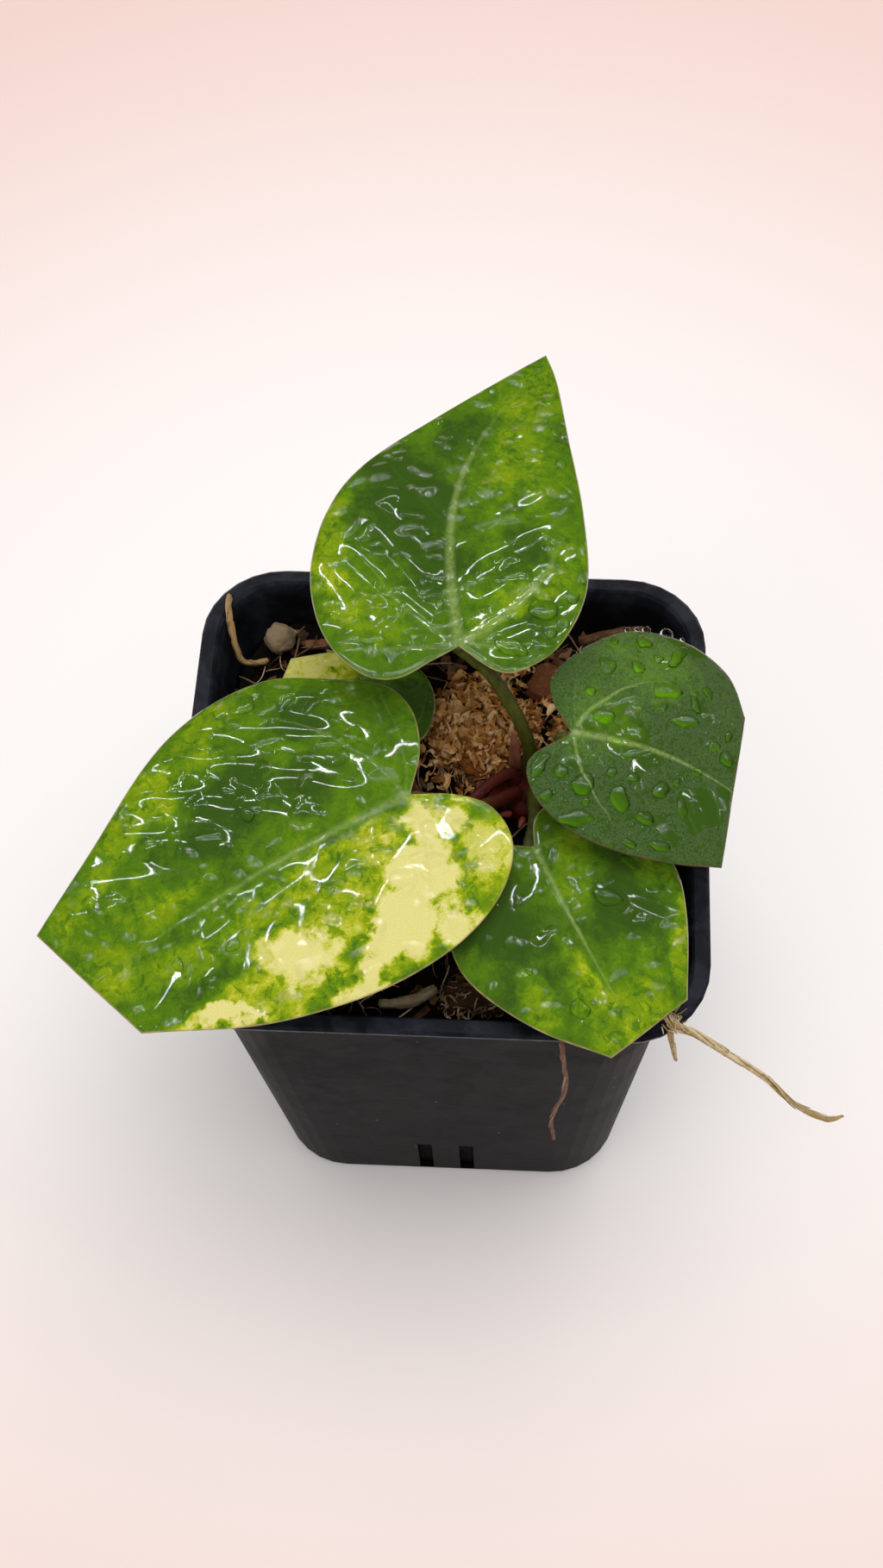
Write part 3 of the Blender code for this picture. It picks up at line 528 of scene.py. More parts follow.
def new_group(name, inputs, outputs):
    """Empty shader group with named sockets, where a number is the default of a number socket.

    Returns its tree helper, its inputs as values, and the sockets that take its outputs.
    """
    tree = bpy.data.node_groups.new(name, 'ShaderNodeTree')
    for label, kind in inputs.items():
        if isinstance(kind, float):
            tree.interface.new_socket(label, in_out='INPUT', socket_type=NUMBER).default_value = kind
        else:
            tree.interface.new_socket(label, in_out='INPUT', socket_type=kind)
    for label, kind in outputs.items():
        tree.interface.new_socket(label, in_out='OUTPUT', socket_type=kind)
    groups[name] = tree
    t = Tree(tree)
    return t, t.named(t.node('NodeGroupInput')), t.node('NodeGroupOutput').inputs


def group_blade_place():
    """Where a point lies on its blade: along and across it, off its midrib, and with a slow wander."""
    t, i, o = new_group("Blade Place", {"Length": 60.0, "Bow": 0.0},
                        {"Place": VECTOR, "Wandered": VECTOR, "Along": NUMBER, "Offset": NUMBER})
    place = (t.get('ShaderNodeUVMap', uv_map="blade") - (*UV_CENTRE, 0.0)) * UV_SPAN
    along, across, _ = t.parts(place)
    share = t.math('DIVIDE', along, i["Length"], clamp=True)
    drift = t.noise(place, 0.15, 5.0, 0.6, output=1)
    t.feeds(o, place=place, wandered=place + (drift - HALF) * (14.0, 14.0, 0.0), along=along,
            offset=across - t.math('SINE', share * math.pi) * i["Bow"])


def group_vein_line():
    """One bent vein that thins out along its length."""
    t, i, o = new_group("Vein Line", {"Place": VECTOR, "Start": VECTOR, "Turn": 0.0, "Bend": 0.0,
                                      "Length": 20.0, "Width": 1.0}, {"Mask": NUMBER})
    along, across, _ = t.parts(t.turned(i["Place"] - i["Start"], i["Turn"]))
    curve = along * along * i["Bend"] + (t.noise(i["Place"], 0.22, 2.0) - 0.5) * 1.6
    share = t.math('DIVIDE', along, i["Length"], clamp=True)
    width = i["Width"] * (1.0 - share * 0.6)
    line = t.step(abs(across - curve) / width, 0.15, 1.0, 1.0, 0.0)
    t.feeds(o, mask=line * (t.step(along, -0.4, 0.6) * t.step(share, 0.6, 0.99, 1.0, 0.0)))


def group_side_veins():
    """Repeated side veins that leave the midrib and lean towards the tip."""
    t, i, o = new_group("Side Veins", {"Place": VECTOR, "Along": 0.0, "Offset": 0.0, "Spacing": 9.0,
                                       "Lean": 0.7, "Curl": 0.012, "Width": 0.5}, {"Mask": NUMBER})
    away = abs(i["Offset"])
    lean = away * i["Lean"] + away * away * i["Curl"]
    wander = (t.noise(i["Place"], 0.09, 2.0) - 0.5) * 5.0
    turns = (i["Along"] - lean + wander) / i["Spacing"] + (i["Offset"] > 0.0) * SIDE_SHIFT
    part = abs(turns - t.math('ROUND', turns))
    line = t.step(part * i["Spacing"] / i["Width"], 0.1, 1.0, 1.0, 0.0)
    t.feeds(o, mask=line * (t.step(i["Along"], 2.0, 9.0) * t.step(away, 13.0, 24.0, 1.0, 0.25)))


def group_patch():
    """A soft elliptical patch."""
    t, i, o = new_group("Patch", {"Place": VECTOR, "Centre": VECTOR, "Size": VECTOR, "Turn": 0.0},
                        {"Mask": NUMBER})
    turned = t.turned(i["Place"] - i["Centre"], i["Turn"])
    t.feeds(o, mask=t.step(t.vector('LENGTH', turned / i["Size"]), 0.38, 1.38, 1.0, 0.0))


def group_variegation():
    """Tissue colour from how far it is variegated, broken up into clouds, crumbs and green islands."""
    t, i, o = new_group("Variegation", {"Place": VECTOR, "Field": 0.2, "Deep": COLOUR, "Green": COLOUR,
                                        "Lime": COLOUR, "Gold": COLOUR, "Cream": COLOUR}, {"Color": COLOUR})
    place, field = i["Place"], i["Field"]
    cloud = t.noise(place, 0.15, 3.0, 0.60, 0.4) - 0.5
    crumb = t.noise(place, 0.62, 6.0, 0.80, 0.5) - 0.5
    grain = t.noise(place, 3.6, 3.0, 0.6) - 0.5
    lively = t.step(field, 0.05, 0.40, 0.60, 1.0)
    calm = t.step(field, 0.78, 1.00, 1.0, 0.25)
    island = t.step(t.noise(place, 0.36, 4.0, 0.62, 0.9), 0.545, 0.60) * t.step(field, 0.20, 0.60, 0.08, 0.26)
    shift = (cloud * 0.75 + crumb * 0.95) * (lively * calm) - island * calm
    field = field + shift + grain * 0.16
    colour = i["Deep"]
    for low, high, tissue in ((-0.10, 0.34, "Green"), (0.22, 0.64, "Lime"), (0.54, 0.86, "Gold"),
                              (0.74, 1.10, "Cream")):
        colour = t.mix(t.step(field, low, high), colour, i[tissue])
    t.feeds(o, color=t.tinted(colour, grain * 0.35 + 1.0))


def group_low_domes():
    """Low rounded drops, one to a cell, each with its own width; heights in millimetres."""
    t, i, o = new_group("Low Domes", {"Place": VECTOR, "Cells": 0.3, "Height": 0.3, "Share": 1.0},
                        {"Height": NUMBER})
    drift = t.noise(i["Place"], i["Cells"] * 1.1, 0.0, output=1)
    distance, random = t.cells(i["Place"] * i["Cells"] + (drift - HALF) * 0.7, 1.0, 0.75, '2D')
    breadth, chance, _ = t.parts(random)
    width = breadth * 0.20 + 0.25
    share = distance / width
    dome = t.most(1.0 - share * share, 0.0)
    tall = width * i["Height"] * (chance < i["Share"])
    t.feeds(o, height=t.math('POWER', dome, 1.4) * tall)


def group_water_film():
    """Where water lies, and its height in millimetres: a film with low drops, beads and mist off it."""
    t, i, o = new_group("Water Film", {"Place": VECTOR, "Cover": 0.5, "Mist": 0.0, "Pool": 0.0},
                        {"Film": NUMBER, "Height": NUMBER})
    place = i["Place"]

    def domes(cells, height, share=1.0, at=place):
        return t.group("Low Domes", place=at, cells=cells, height=height, share=share)["Height"]

    film = t.noise(place, 0.12, 2.0, 0.5, 0.6) + i["Cover"] > 1.0
    run = t.vector('DOT_PRODUCT', place, RIPPLE_WAY) + t.noise(place, 0.5, 1.0) * 1.6
    pool = t.math('SINE', run * (2 * math.pi / RIPPLE_LENGTH)) * 0.004 + t.noise(place, 0.26, 0.0) * 0.22
    swell = t.noise(place, 0.10, 0.0, 0.0, 0.3) * 0.14 + pool * i["Pool"]
    ripple = t.noise(place, 0.9, 1.0) * 0.003
    on_film = t.most(domes(0.168, 1.15, 0.92), domes(0.27, 0.70, 0.28, place + (37.0, 11.0, 0.0)))
    off_film = t.most(domes(0.72, 0.30, 0.5), domes(1.9, 0.30) * i["Mist"])
    drops = on_film * film + off_film * (1.0 - film)
    t.feeds(o, film=t.most(film, drops > 0.02), height=(ripple + FILM_DEPTH) * film + (swell + drops))


def group_dust():
    """Dust, smears and specks on plastic."""
    t, i, o = new_group("Dust", {"Place": VECTOR, "Amount": 0.5},
                        {"Dust": NUMBER, "Smear": NUMBER, "Speck": NUMBER})
    place = i["Place"]
    cloud = t.step(t.noise(place, 0.055, 6.0, 0.62, 0.5), 0.30, 0.72)
    amount = cloud * 0.75 + t.noise(place, 0.9, 4.0, 0.6) * 0.25
    smear = t.noise(place * (0.030, 0.030, 0.11), 1.0, 5.0, 0.6, 1.2)
    t.feeds(o, dust=t.math('MULTIPLY', amount, i["Amount"], clamp=True), smear=t.step(smear, 0.56, 0.66),
            speck=t.step(t.cells(place, 0.16)[0], 0.02, 0.06, 1.0, 0.0))


def group_loose_tone():
    """Colour of a loose piece by its own random tone, with a grain."""
    t, i, o = new_group("Loose Tone", {"Place": VECTOR, "Dark": COLOUR, "Middle": COLOUR, "Pale": COLOUR,
                                       "Grain": 1.0}, {"Color": COLOUR, "Height": NUMBER})
    grain = t.noise(i["Place"], i["Grain"], 5.0, 0.65, 0.4)
    shade = t.attribute("tone") + (grain - 0.5) * 0.9
    low = t.mix(t.step(shade, 0.05, 0.5), i["Dark"], i["Middle"])
    t.feeds(o, color=t.mix(t.step(shade, 0.5, 1.0), low, i["Pale"]), height=grain)


def build_groups():
    for build in (group_blade_place, group_vein_line, group_side_veins, group_patch, group_variegation,
                  group_low_domes, group_water_film, group_dust, group_loose_tone):
        build()


# Materials

def new_material(name, **constants):
    """Material with a Principled shader whose even values are set on its own sockets."""
    mat = bpy.data.materials.new(name)
    mat.use_nodes = True
    materials[name] = mat
    t, bsdf = Tree(mat.node_tree), mat.node_tree.nodes["Principled BSDF"].inputs
    t.feeds(bsdf, **constants)
    return t, bsdf


def plastic_material(settings):
    t, bsdf = new_material("black_plastic", specular_ior_level=0.05)
    place = t.object_place()
    high = t.parts(place)[2]
    dust = t.group("Dust", place=place, amount=settings.dustiness)
    # The dust is weighted from a quarter at the foot to full at 88 mm and thinned on the lip, so the walls
    # are lighter towards the top and darker towards the foot.
    cover = dust["Dust"] * t.step(high, 10.0, 88.0, 0.25, 1.0) * t.step(high, LIP_LOW, 98.4, 1.0, 0.16)
    cover = cover * (1.0 - dust["Smear"] * 0.6)
    lip = t.step(high, LIP_LOW, 98.8)
    colour = t.mix(lip * 0.9, t.mix(cover, settings.plastic, settings.dust), settings.lip)
    colour = t.tinted(colour, t.step(t.noise(place, 0.16, 4.0, 0.6, 0.6), 0.40, 0.62, 0.55, 1.25))
    scuffs = t.noise(place, 0.55, 3.0, 0.55, 0.8) * (lip + 0.25)
    relief = scuffs + t.cells(place, 0.42)[0] * lip * 0.8 + t.noise(place, 4.5, 2.0) * 0.10
    t.feeds(bsdf, base_color=t.mix(dust["Speck"] * 0.35, colour, (0.30, 0.29, 0.27)),
            roughness=t.step(high, 96.0, 98.5, 0.46, 0.24) + cover * 0.3, normal=t.bump(relief, 0.00012))


def gather(t, place, patches):
    """Strongest of several soft patches."""
    found = 0.0
    for centre, size, turn, weight in patches:
        mask = t.group("Patch", place=place, centre=(*centre, 0.0), size=(*size, 1.0),
                       turn=math.radians(turn))["Mask"]
        found = t.most(found, mask * weight)
    return found


def leaf_material(key, leaf, settings):
    """Upper face of one blade: variegated tissue, veins and margin, then the water that lies on it, with a
    painted sheen on dry tissue and painted light and shade on the drops.
    """
    t, bsdf = new_material("leaf_face_" + key, ior=1.42)
    length = float(leaf["length"])
    where = t.group("Blade Place", length=length, bow=leaf["bow"])
    place, wandered, along, offset = (where[name] for name in ("Place", "Wandered", "Along", "Offset"))
    sides = t.group("Side Veins", place=place, along=along, offset=offset, spacing=leaf["spacing"],
                    lean=leaf["lean"], curl=leaf["curl"], width=0.55)["Mask"] * leaf["side"]
    field = gather(t, wandered, leaf["pale"]) + leaf["base"] - gather(t, wandered, leaf["deep"])
    tissue = t.group("Variegation", place=place, field=field, deep=settings.deep, green=settings.green,
                     lime=settings.lime, gold=settings.gold, cream=settings.cream)["Color"]

    share = t.math('DIVIDE', along, length, clamp=True)
    rib = (t.step(abs(offset) / ((1.1 - share) * leaf["vein_width"]), 0.10, 1.0, 1.0, 0.0)
           * (t.step(along, -0.8, 0.4) * t.step(share, 0.40, 0.80, 1.0, leaf["faint"])))
    lines = 0.0
    for start, turn, bend, reach, width, strength in leaf["veins"]:
        line = t.group("Vein Line", place=place, start=(*start, 0.0), turn=math.radians(turn), bend=bend,
                       length=float(reach), width=width)["Mask"]
        lines = t.most(lines, line * strength)
    worn = t.step(t.noise(place, 1.3, 4.0, 0.7), 0.34, 0.60, 0.45, 1.0)
    clear = t.mix(t.most(rib * leaf["rib"], lines, sides) * worn, tissue, settings.vein)

    pools = gather(t, place, leaf.get("pools", ()))
    water = t.group("Water Film", place=place, cover=pools + leaf["wet"], mist=leaf["mist"], pool=pools)
    # Dry tissue, off the water film, is mixed towards a pale grey green: a painted sheen in place of the
    # reflection off dry leaf.
    colour = t.mix((1.0 - water["Film"]) * leaf["dry_sheen_share"] * 0.09, clear, DRY_SHEEN_PAINT)
    # Drops carry painted light and shade. Their tissue is brightened on the side that faces away from the
    # lights, as if light gathered through the water. A painted dark rim runs along their steep edges,
    # strongest on the side towards the lights.
    drop = t.attribute("drop")
    right, ahead, up = t.parts(t.get('ShaderNodeNewGeometry', output="Normal"))
    lit = ahead * -1.0 - right * 0.3
    inside = t.mix(t.step(lit, -0.10, 0.60), t.tinted(clear, (0.95, 1.0, 0.9)), t.tinted(clear, leaf["painted_drop_light"]))
    outline = t.step(up, 0.66, 0.94, 1.0, 0.0) * t.step(lit, -0.1, 0.6, 1.0, 0.25)
    colour = t.mix(drop, colour, t.mix(outline, inside, t.tinted(clear, (0.16, 0.24, 0.12))))
    frayed = t.mix(t.step(t.noise(place, 0.35, 2.0), 0.3, 0.7, 0.25, 0.9), colour, leaf.get("rim", PALE_RIM))
    colour = t.mix(t.step(t.attribute("margin"), 0.08, 0.30), frayed, colour)
    film = t.most(water["Film"], drop)
    skin = t.noise(place, 4.0, 2.0) * (0.02 - film * 0.02) - (rib * 0.20 + lines * 0.12) - sides * 0.3
    relief = (skin + water["Height"]) * (1.0 - drop)
    t.feeds(bsdf, base_color=colour, roughness=0.90 - film * 0.855, normal=t.bump(relief, MM))


def underside_material():
    t, bsdf = new_material("leaf_underside", roughness=0.5)
    place = t.object_place()
    tissue = t.group("Variegation", place=place, field=t.noise(place, 0.05, 2.0), deep=(0.070, 0.130, 0.030),
                     green=(0.110, 0.190, 0.045), lime=(0.210, 0.300, 0.085), gold=(0.300, 0.370, 0.120),
                     cream=(0.420, 0.450, 0.190))["Color"]
    rim = t.step(t.attribute("margin"), 0.1, 0.5, 0.7, 0.0)
    t.feeds(bsdf, base_color=t.mix(rim, tissue, (0.36, 0.27, 0.13)),
            normal=t.bump(t.noise(place, 3.0, 2.0), 0.00005))


def clear_drop_material():
    """The beads that hang on a margin."""
    t, bsdf = new_material("clear_drop", roughness=0.03, ior=1.36, transmission_weight=1.0)
    t.feeds(bsdf, base_color=t.mix(t.noise(t.object_place(), 0.8), (0.86, 0.92, 0.88), (1.0, 1.0, 1.0)))


def stalk_material(name, base, blush, speck, blush_top):
    """Stalk tissue: length-wise streaks, pale dots and a blush towards the crown."""
    t, bsdf = new_material(name, specular_ior_level=0.30)
    place = t.object_place()
    streak = t.noise(place * (1.0, 1.0, 0.22), 0.9, 5.0, 0.6)
    blushed = t.step(t.parts(place)[2] + streak * 5.0, blush_top - 2.0, blush_top + 4.0, 0.95, 0.0)
    colour = t.mix(blushed, t.mix(t.step(streak, 0.35, 0.68), base, speck), blush)
    dots = t.step(t.cells(place, 0.9)[0], 0.08, 0.18, 0.3, 0.0)
    t.feeds(bsdf, base_color=t.mix(dots, colour, (0.24, 0.22, 0.08)), roughness=streak * 0.2 + 0.34,
            normal=t.bump(streak, 0.00015))


def loose_material(name, dark, middle, pale, grain, bump, roughness=0.82):
    """Bark, moss, fibre or root: three colours by the piece's own tone, with a raised grain."""
    t, bsdf = new_material(name, roughness=roughness, specular_ior_level=0.12)
    tone = t.group("Loose Tone", place=t.object_place(), dark=dark, middle=middle, pale=pale, grain=grain)
    t.feeds(bsdf, base_color=tone["Color"], normal=t.bump(tone["Height"], bump * MM))


def build_materials():
    for name, values in LOOSE.items():
        loose_material(name, *values)
    for name, values in STALKS.items():
        stalk_material(name, *values)
    clear_drop_material()


# Meshes

def new_mesh(name, verts, faces):
    mesh = bpy.data.meshes.new(name)
    mesh.from_pydata(verts, [], faces)
    return mesh


def mesh_from(bm, name):
    mesh = bpy.data.meshes.new(name)
    bm.to_mesh(mesh)
    bm.free()
    return mesh


def linked(name, data):
    obj = bpy.data.objects.new(name, data)
    bpy.context.scene.collection.objects.link(obj)
    return obj


def set_material(obj, name):
    obj.data.materials.clear()
    obj.data.materials.append(materials[name])


def finished(name, mesh, mats, smooth=True, replaces=None):
    """Link a mesh, give it materials, and let it ride on the plant's body in place of its solid."""
    for mat in mats:
        mesh.materials.append(materials[mat])
    if smooth:
        mesh.shade_smooth()
    obj = linked(name, mesh)
    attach(obj, "root")
    if replaces:
        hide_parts(replaces)


def spline(points, steps):
    """Catmull-Rom points through a run; the ends are kept."""
    p = np.asarray(points, float)
    ext = np.vstack([2 * p[0] - p[1], p, 2 * p[-1] - p[-2]])
    t = (np.arange(steps) / steps)[:, None]
    parts = [0.5 * (2 * b + (c - a) * t + (2 * a - 5 * b + 4 * c - d) * t ** 2
                    + (3 * b - a - 3 * c + d) * t ** 3)
             for a, b, c, d in zip(ext, ext[1:], ext[2:], ext[3:])]
    return np.vstack(parts + [p[-1:]])


def resample(run, spacing):
    """Even points along a run, without its last one."""
    steps = np.linalg.norm(np.diff(run, axis=0), axis=1)
    total = np.concatenate([[0], np.cumsum(steps)])
    wanted = np.linspace(0, total[-1], max(3, round(total[-1] / spacing)), endpoint=False)
    return np.stack([np.interp(wanted, total, run[:, c]) for c in range(run.shape[1])], 1)


def off_midrib(leaf, u, v):
    return v - leaf["bow"] * np.sin(np.pi * np.clip(u / leaf["length"], 0, 1))


def blade_height(leaf, u, v):
    """Height of the blade's middle surface, as in the part's source."""
    q = off_midrib(leaf, u, v)
    w = GROOVE * (np.hypot(q, CREASE) - CREASE) - HANG * q * q / leaf["half"]
    return w - np.where(u > 0, ARCH * u * u / leaf["length"], 0.0)


def blade_swell(leaf, u, v, amount):
    """Swelling between the side veins, and a slow unevenness."""
    q = off_midrib(leaf, u, v)
    away = np.abs(q)
    turns = (u - leaf["lean"] * away - leaf["curl"] * away ** 2) / leaf["spacing"] + SIDE_SHIFT * (q > 0)
    pad = (0.5 - 0.5 * np.cos(2 * np.pi * turns)) * np.clip(away / 5, 0, 1) * np.clip((u + 2) / 8, 0, 1)
    slow = np.array([noise.noise(Vector((a * 0.13, b * 0.13, leaf["heading"]))) for a, b in zip(u, v)])
    return amount * (pad - 0.4 + 0.9 * slow)


def blade_frame(leaf):
    turn = Euler((0.0, -math.radians(leaf["pitch"]), math.radians(leaf["heading"]))).to_matrix()
    return np.array(turn), np.array(leaf["notch"])


def margin_distance(points, edge):
    """Shortest way from each point to the closed margin."""
    best = np.full(len(points), 1e9)
    for start, way in zip(edge, np.roll(edge, -1, axis=0) - edge):
        rel = points - start
        f = np.clip(rel @ way / (way @ way), 0, 1)
        best = np.minimum(best, np.linalg.norm(rel - f[:, None] * way, axis=1))
    return best


def blade_mesh(name, leaf, settings):
    """Closed thin blade whose two faces meet in a fine margin."""
    spacing = settings.spacing / MM
    edge = np.vstack([resample(np.array(run, float) if len(run) == 2 else spline(run, 14), spacing)
                      for run in leaf["runs"]])
    x, y = edge[:, 0], edge[:, 1]
    if np.sum(x * np.roll(y, -1) - np.roll(x, -1) * y) < 0:
        edge = edge[::-1]
    hub = np.array(leaf["hub"], float)
    count = len(edge)
    reach = np.linalg.norm(edge - hub, axis=1)
    inner = np.linspace(0, 1, max(14, int(reach.mean() / spacing * 0.85)))[1:, None]
    shares = np.vstack([inner * (1 - 1.0 / reach), 1 - 0.55 / reach, 1 - 0.22 / reach, np.ones_like(reach)])
    plan = np.vstack([hub[None], (hub + (edge - hub) * shares[:, :, None]).reshape(-1, 2)])
    margin = margin_distance(plan, edge)
    margin[-count:] = 0.0
    u, v = plan[:, 0], plan[:, 1]
    swell = blade_swell(leaf, u, v, settings.swell / MM) * np.clip(margin / 2.5, 0, 1)
    middle = blade_height(leaf, u, v) + swell
    half = HALF_BLADE * np.sqrt(np.clip(margin / 0.8, 0, 1))
    turn, notch = blade_frame(leaf)

    def placed(height):
        return (notch + np.stack([u, v, height], 1) @ turn.T) * MM

    verts = np.vstack([placed(middle + half), placed(middle - half)[:-count]])
    last = len(plan) - count
    faces, sides = [], []

    def at(ring, i, low):
        index = 1 + ring * count + i % count
        return index if index >= last or not low else len(plan) + index

    for low in (False, True):
        centre = len(plan) if low else 0
        for i in range(count):
            fan = [[centre, at(0, i, low), at(0, i + 1, low)]]
            fan += [[at(k, i, low), at(k + 1, i, low), at(k + 1, i + 1, low), at(k, i + 1, low)]
                    for k in range(len(shares) - 1)]
            faces += [face[::-1] if low else face for face in fan]
            sides += [int(low)] * len(fan)
    mesh = new_mesh(name, verts.tolist(), faces)
    mesh.polygons.foreach_set("material_index", sides)
    give_place(mesh, np.vstack([plan, plan[:-count]]), np.concatenate([margin, margin[:-count]]), 0.0)
    return mesh


def give_number(mesh, name, value):
    mesh.attributes.new(name, 'FLOAT', 'POINT').data.foreach_set(
        "value", np.full(len(mesh.vertices), value, np.float32))


def give_place(mesh, plan, margin, drop):
    """Give the shader each point's place on the blade, its way from the margin, and if it is a drop's."""
    corner = np.zeros(len(mesh.loops), np.int32)
    mesh.loops.foreach_get("vertex_index", corner)
    layer = mesh.uv_layers.new(name="blade")
    layer.data.foreach_set("uv", (plan / UV_SPAN + UV_CENTRE)[corner].astype(np.float32).ravel())
    give_number(mesh, "margin", margin)
    give_number(mesh, "drop", drop)


def on_blade(leaf, u, v, lift, swell):
    """World place and turn of something that lies on the blade's upper face."""
    turn, notch = blade_frame(leaf)
    a, b = np.array([u, u + 0.5, u]), np.array([v, v, v + 0.5])
    height = blade_height(leaf, a, b) + blade_swell(leaf, a, b, swell)
    slope = Vector((-(height[1] - height[0]) / 0.5, -(height[2] - height[0]) / 0.5, 1.0)).normalized()
    local = np.array([u, v, height[0] + lift])
    world = Matrix(turn.tolist())
    return Vector(notch + turn @ local), world @ slope.to_track_quat('Z', 'X').to_matrix(), world


def ring_faces(rows, sides):
    """Faces between rings of points that follow each other."""
    return [(k * sides + s, k * sides + (s + 1) % sides, (k + 1) * sides + (s + 1) % sides,
             (k + 1) * sides + s) for k in range(rows - 1) for s in range(sides)]


def tube_mesh(name, points, radii, steps=6, sides=14, ridges=0, ridge=0.0, twist=0.0, lump=0.0, tone=0.5,
              seed=0.0):
    """Round tube along a smoothed path, with optional twisted ridges and lumps; its ends are closed."""
    if len(radii) == 2:
        radii = np.linspace(radii[0], radii[1], len(points))
    path = spline([(*p, r) for p, r in zip(points, radii)], steps)
    place, radius = path[:, :3], path[:, 3]
    ways = np.gradient(place, axis=0)
    ways /= np.linalg.norm(ways, axis=1)[:, None]
    side = Vector(ways[0]).orthogonal().normalized()
    run = np.concatenate([[0], np.cumsum(np.linalg.norm(np.diff(place, axis=0), axis=1))])
    verts = []
    for k, (p, way, r) in enumerate(zip(place, ways, radius)):
        way = Vector(way)
        side = (side - way * side.dot(way)).normalized()
        other = way.cross(side)
        for s in range(sides):
            a = 2 * math.pi * s / sides
            grow = 1 + ridge * math.cos(ridges * a + twist * run[k])
            if lump:
                spot = Vector((run[k] * 0.8, math.cos(a) * 1.3 + seed, math.sin(a) * 1.3))
                grow += lump * noise.noise(spot)
            verts.append((Vector(p) + (side * math.cos(a) + other * math.sin(a)) * r * grow) * MM)
    rows = len(place)
    faces = ring_faces(rows, sides)
    for row, order in ((0, -1), (rows - 1, 1)):
        verts.append(Vector(place[row] + ways[row] * 0.4 * order * radius[row]) * MM)
        tip = len(verts) - 1
        faces += [((row * sides + s), (row * sides + (s + 1) % sides), tip)[::order] for s in range(sides)]
    mesh = new_mesh(name, verts, faces)
    give_number(mesh, "tone", tone)
    return mesh


def joined(name, meshes):
    """One mesh from several, with their attributes."""
    bm = bmesh.new()
    for mesh in meshes:
        bm.from_mesh(mesh)
        bpy.data.meshes.remove(mesh)
    return mesh_from(bm, name)


def mix_height(x, y):
    """Top of the mix, as in the part's source."""
    wave = math.sin(0.31 * x + 1.1) * math.cos(0.27 * y) + 0.6 * math.sin(0.53 * y - 0.2 * x)
    z = MIX_Z + MIX_LUMP * wave
    z -= 2.6 * math.exp(-((x - 3.5) ** 2 + (y - 3.0) ** 2) / 30.0)
    return z + 1.6 * math.exp(-((x + 31.0) ** 2 + (y - 33.0) ** 2) / 60.0)


def lump_mesh(name, centre, radii, turn, lump=0.14, detail=3, crag=0.12, tone=0.55):
    """The part's lumpy ellipsoid, finer and craggier."""
    bm = bmesh.new()
    bmesh.ops.create_icosphere(bm, subdivisions=detail, radius=1.0)
    spin = Euler((0, 0, math.radians(turn))).to_matrix()
    for v in bm.verts:
        x, y, z = v.co
        wave = math.sin(5.1 * x + 2.0 * centre[0]) * math.cos(4.3 * y) + 0.7 * math.sin(6.2 * z + 3.1 * x)
        crags = noise.fractal(Vector((x, y, z)) * 2.2 + Vector(centre), 0.8, 2.0, 4)
        r = 1 + lump * wave + crag * crags
        v.co = (spin @ Vector((x * radii[0], y * radii[1], z * radii[2])) * r + Vector(centre)) * MM
    mesh = mesh_from(bm, name)
    give_number(mesh, "tone", tone)
    return mesh


# Geometry nodes

def new_node_tree(name, inputs):
    """Empty geometry tree with named inputs; returns its tree helper and those inputs."""
    tree = bpy.data.node_groups.new(name, 'GeometryNodeTree')
    for label, kind in inputs.items():
        tree.interface.new_socket(label, in_out='INPUT', socket_type='NodeSocket' + kind)
    tree.interface.new_socket("Geometry", in_out='OUTPUT', socket_type='NodeSocketGeometry')
    t = Tree(tree)
    return t, t.named(t.node('NodeGroupInput'))


def scatter_tree():
    """Strews the objects of a collection over a surface, each with its own turn, size and tone."""
    t, i = new_node_tree("Strew Pieces", {
        "Surface": 'Geometry', "Pieces": 'Collection', "Density": 'Float', "Seed": 'Int',
        "Smallest": 'Float', "Largest": 'Float', "Tilt": 'Float', "Material": 'Material'})

    def random(seed, low, high):
        return t.get('FunctionNodeRandomValue', {2: low, 3: high, "Seed": i["Seed"] + seed}, 1,
                     data_type='FLOAT')

    spread = t.named(t.node('GeometryNodeDistributePointsOnFaces', {
        "Mesh": i["Surface"], "Density": i["Density"], "Seed": i["Seed"]}))
    tilt = t.get('ShaderNodeCombineXYZ', {0: i["Tilt"], 1: i["Tilt"], 2: math.pi})
    turn = t.get('FunctionNodeRandomValue', {0: tilt * -1.0, 1: tilt, "Seed": i["Seed"] + 1.0},
                 data_type='FLOAT_VECTOR')
    turned = t.get('FunctionNodeRotateRotation', {
        0: spread["Rotation"], 1: t.get('FunctionNodeEulerToRotation', {0: turn})}, rotation_space='LOCAL')
    pieces = t.get('GeometryNodeCollectionInfo', {0: i["Pieces"], 1: True, 2: True})
    laid = t.get('GeometryNodeInstanceOnPoints', {
        "Points": spread["Points"], "Instance": pieces, "Pick Instance": True, "Rotation": turned,
        "Scale": random(2.0, i["Smallest"], i["Largest"])})
    toned = t.get('GeometryNodeStoreNamedAttribute', {
        "Geometry": laid, "Name": "tone", "Value": random(3.0, 0.0, 1.0)},
        data_type='FLOAT', domain='INSTANCE')
    real = t.get('GeometryNodeRealizeInstances', {0: toned})
    final = t.get('GeometryNodeSetMaterial', {"Geometry": real, "Material": i["Material"]})
    t.node('NodeGroupOutput', {0: final})
    return t.tree


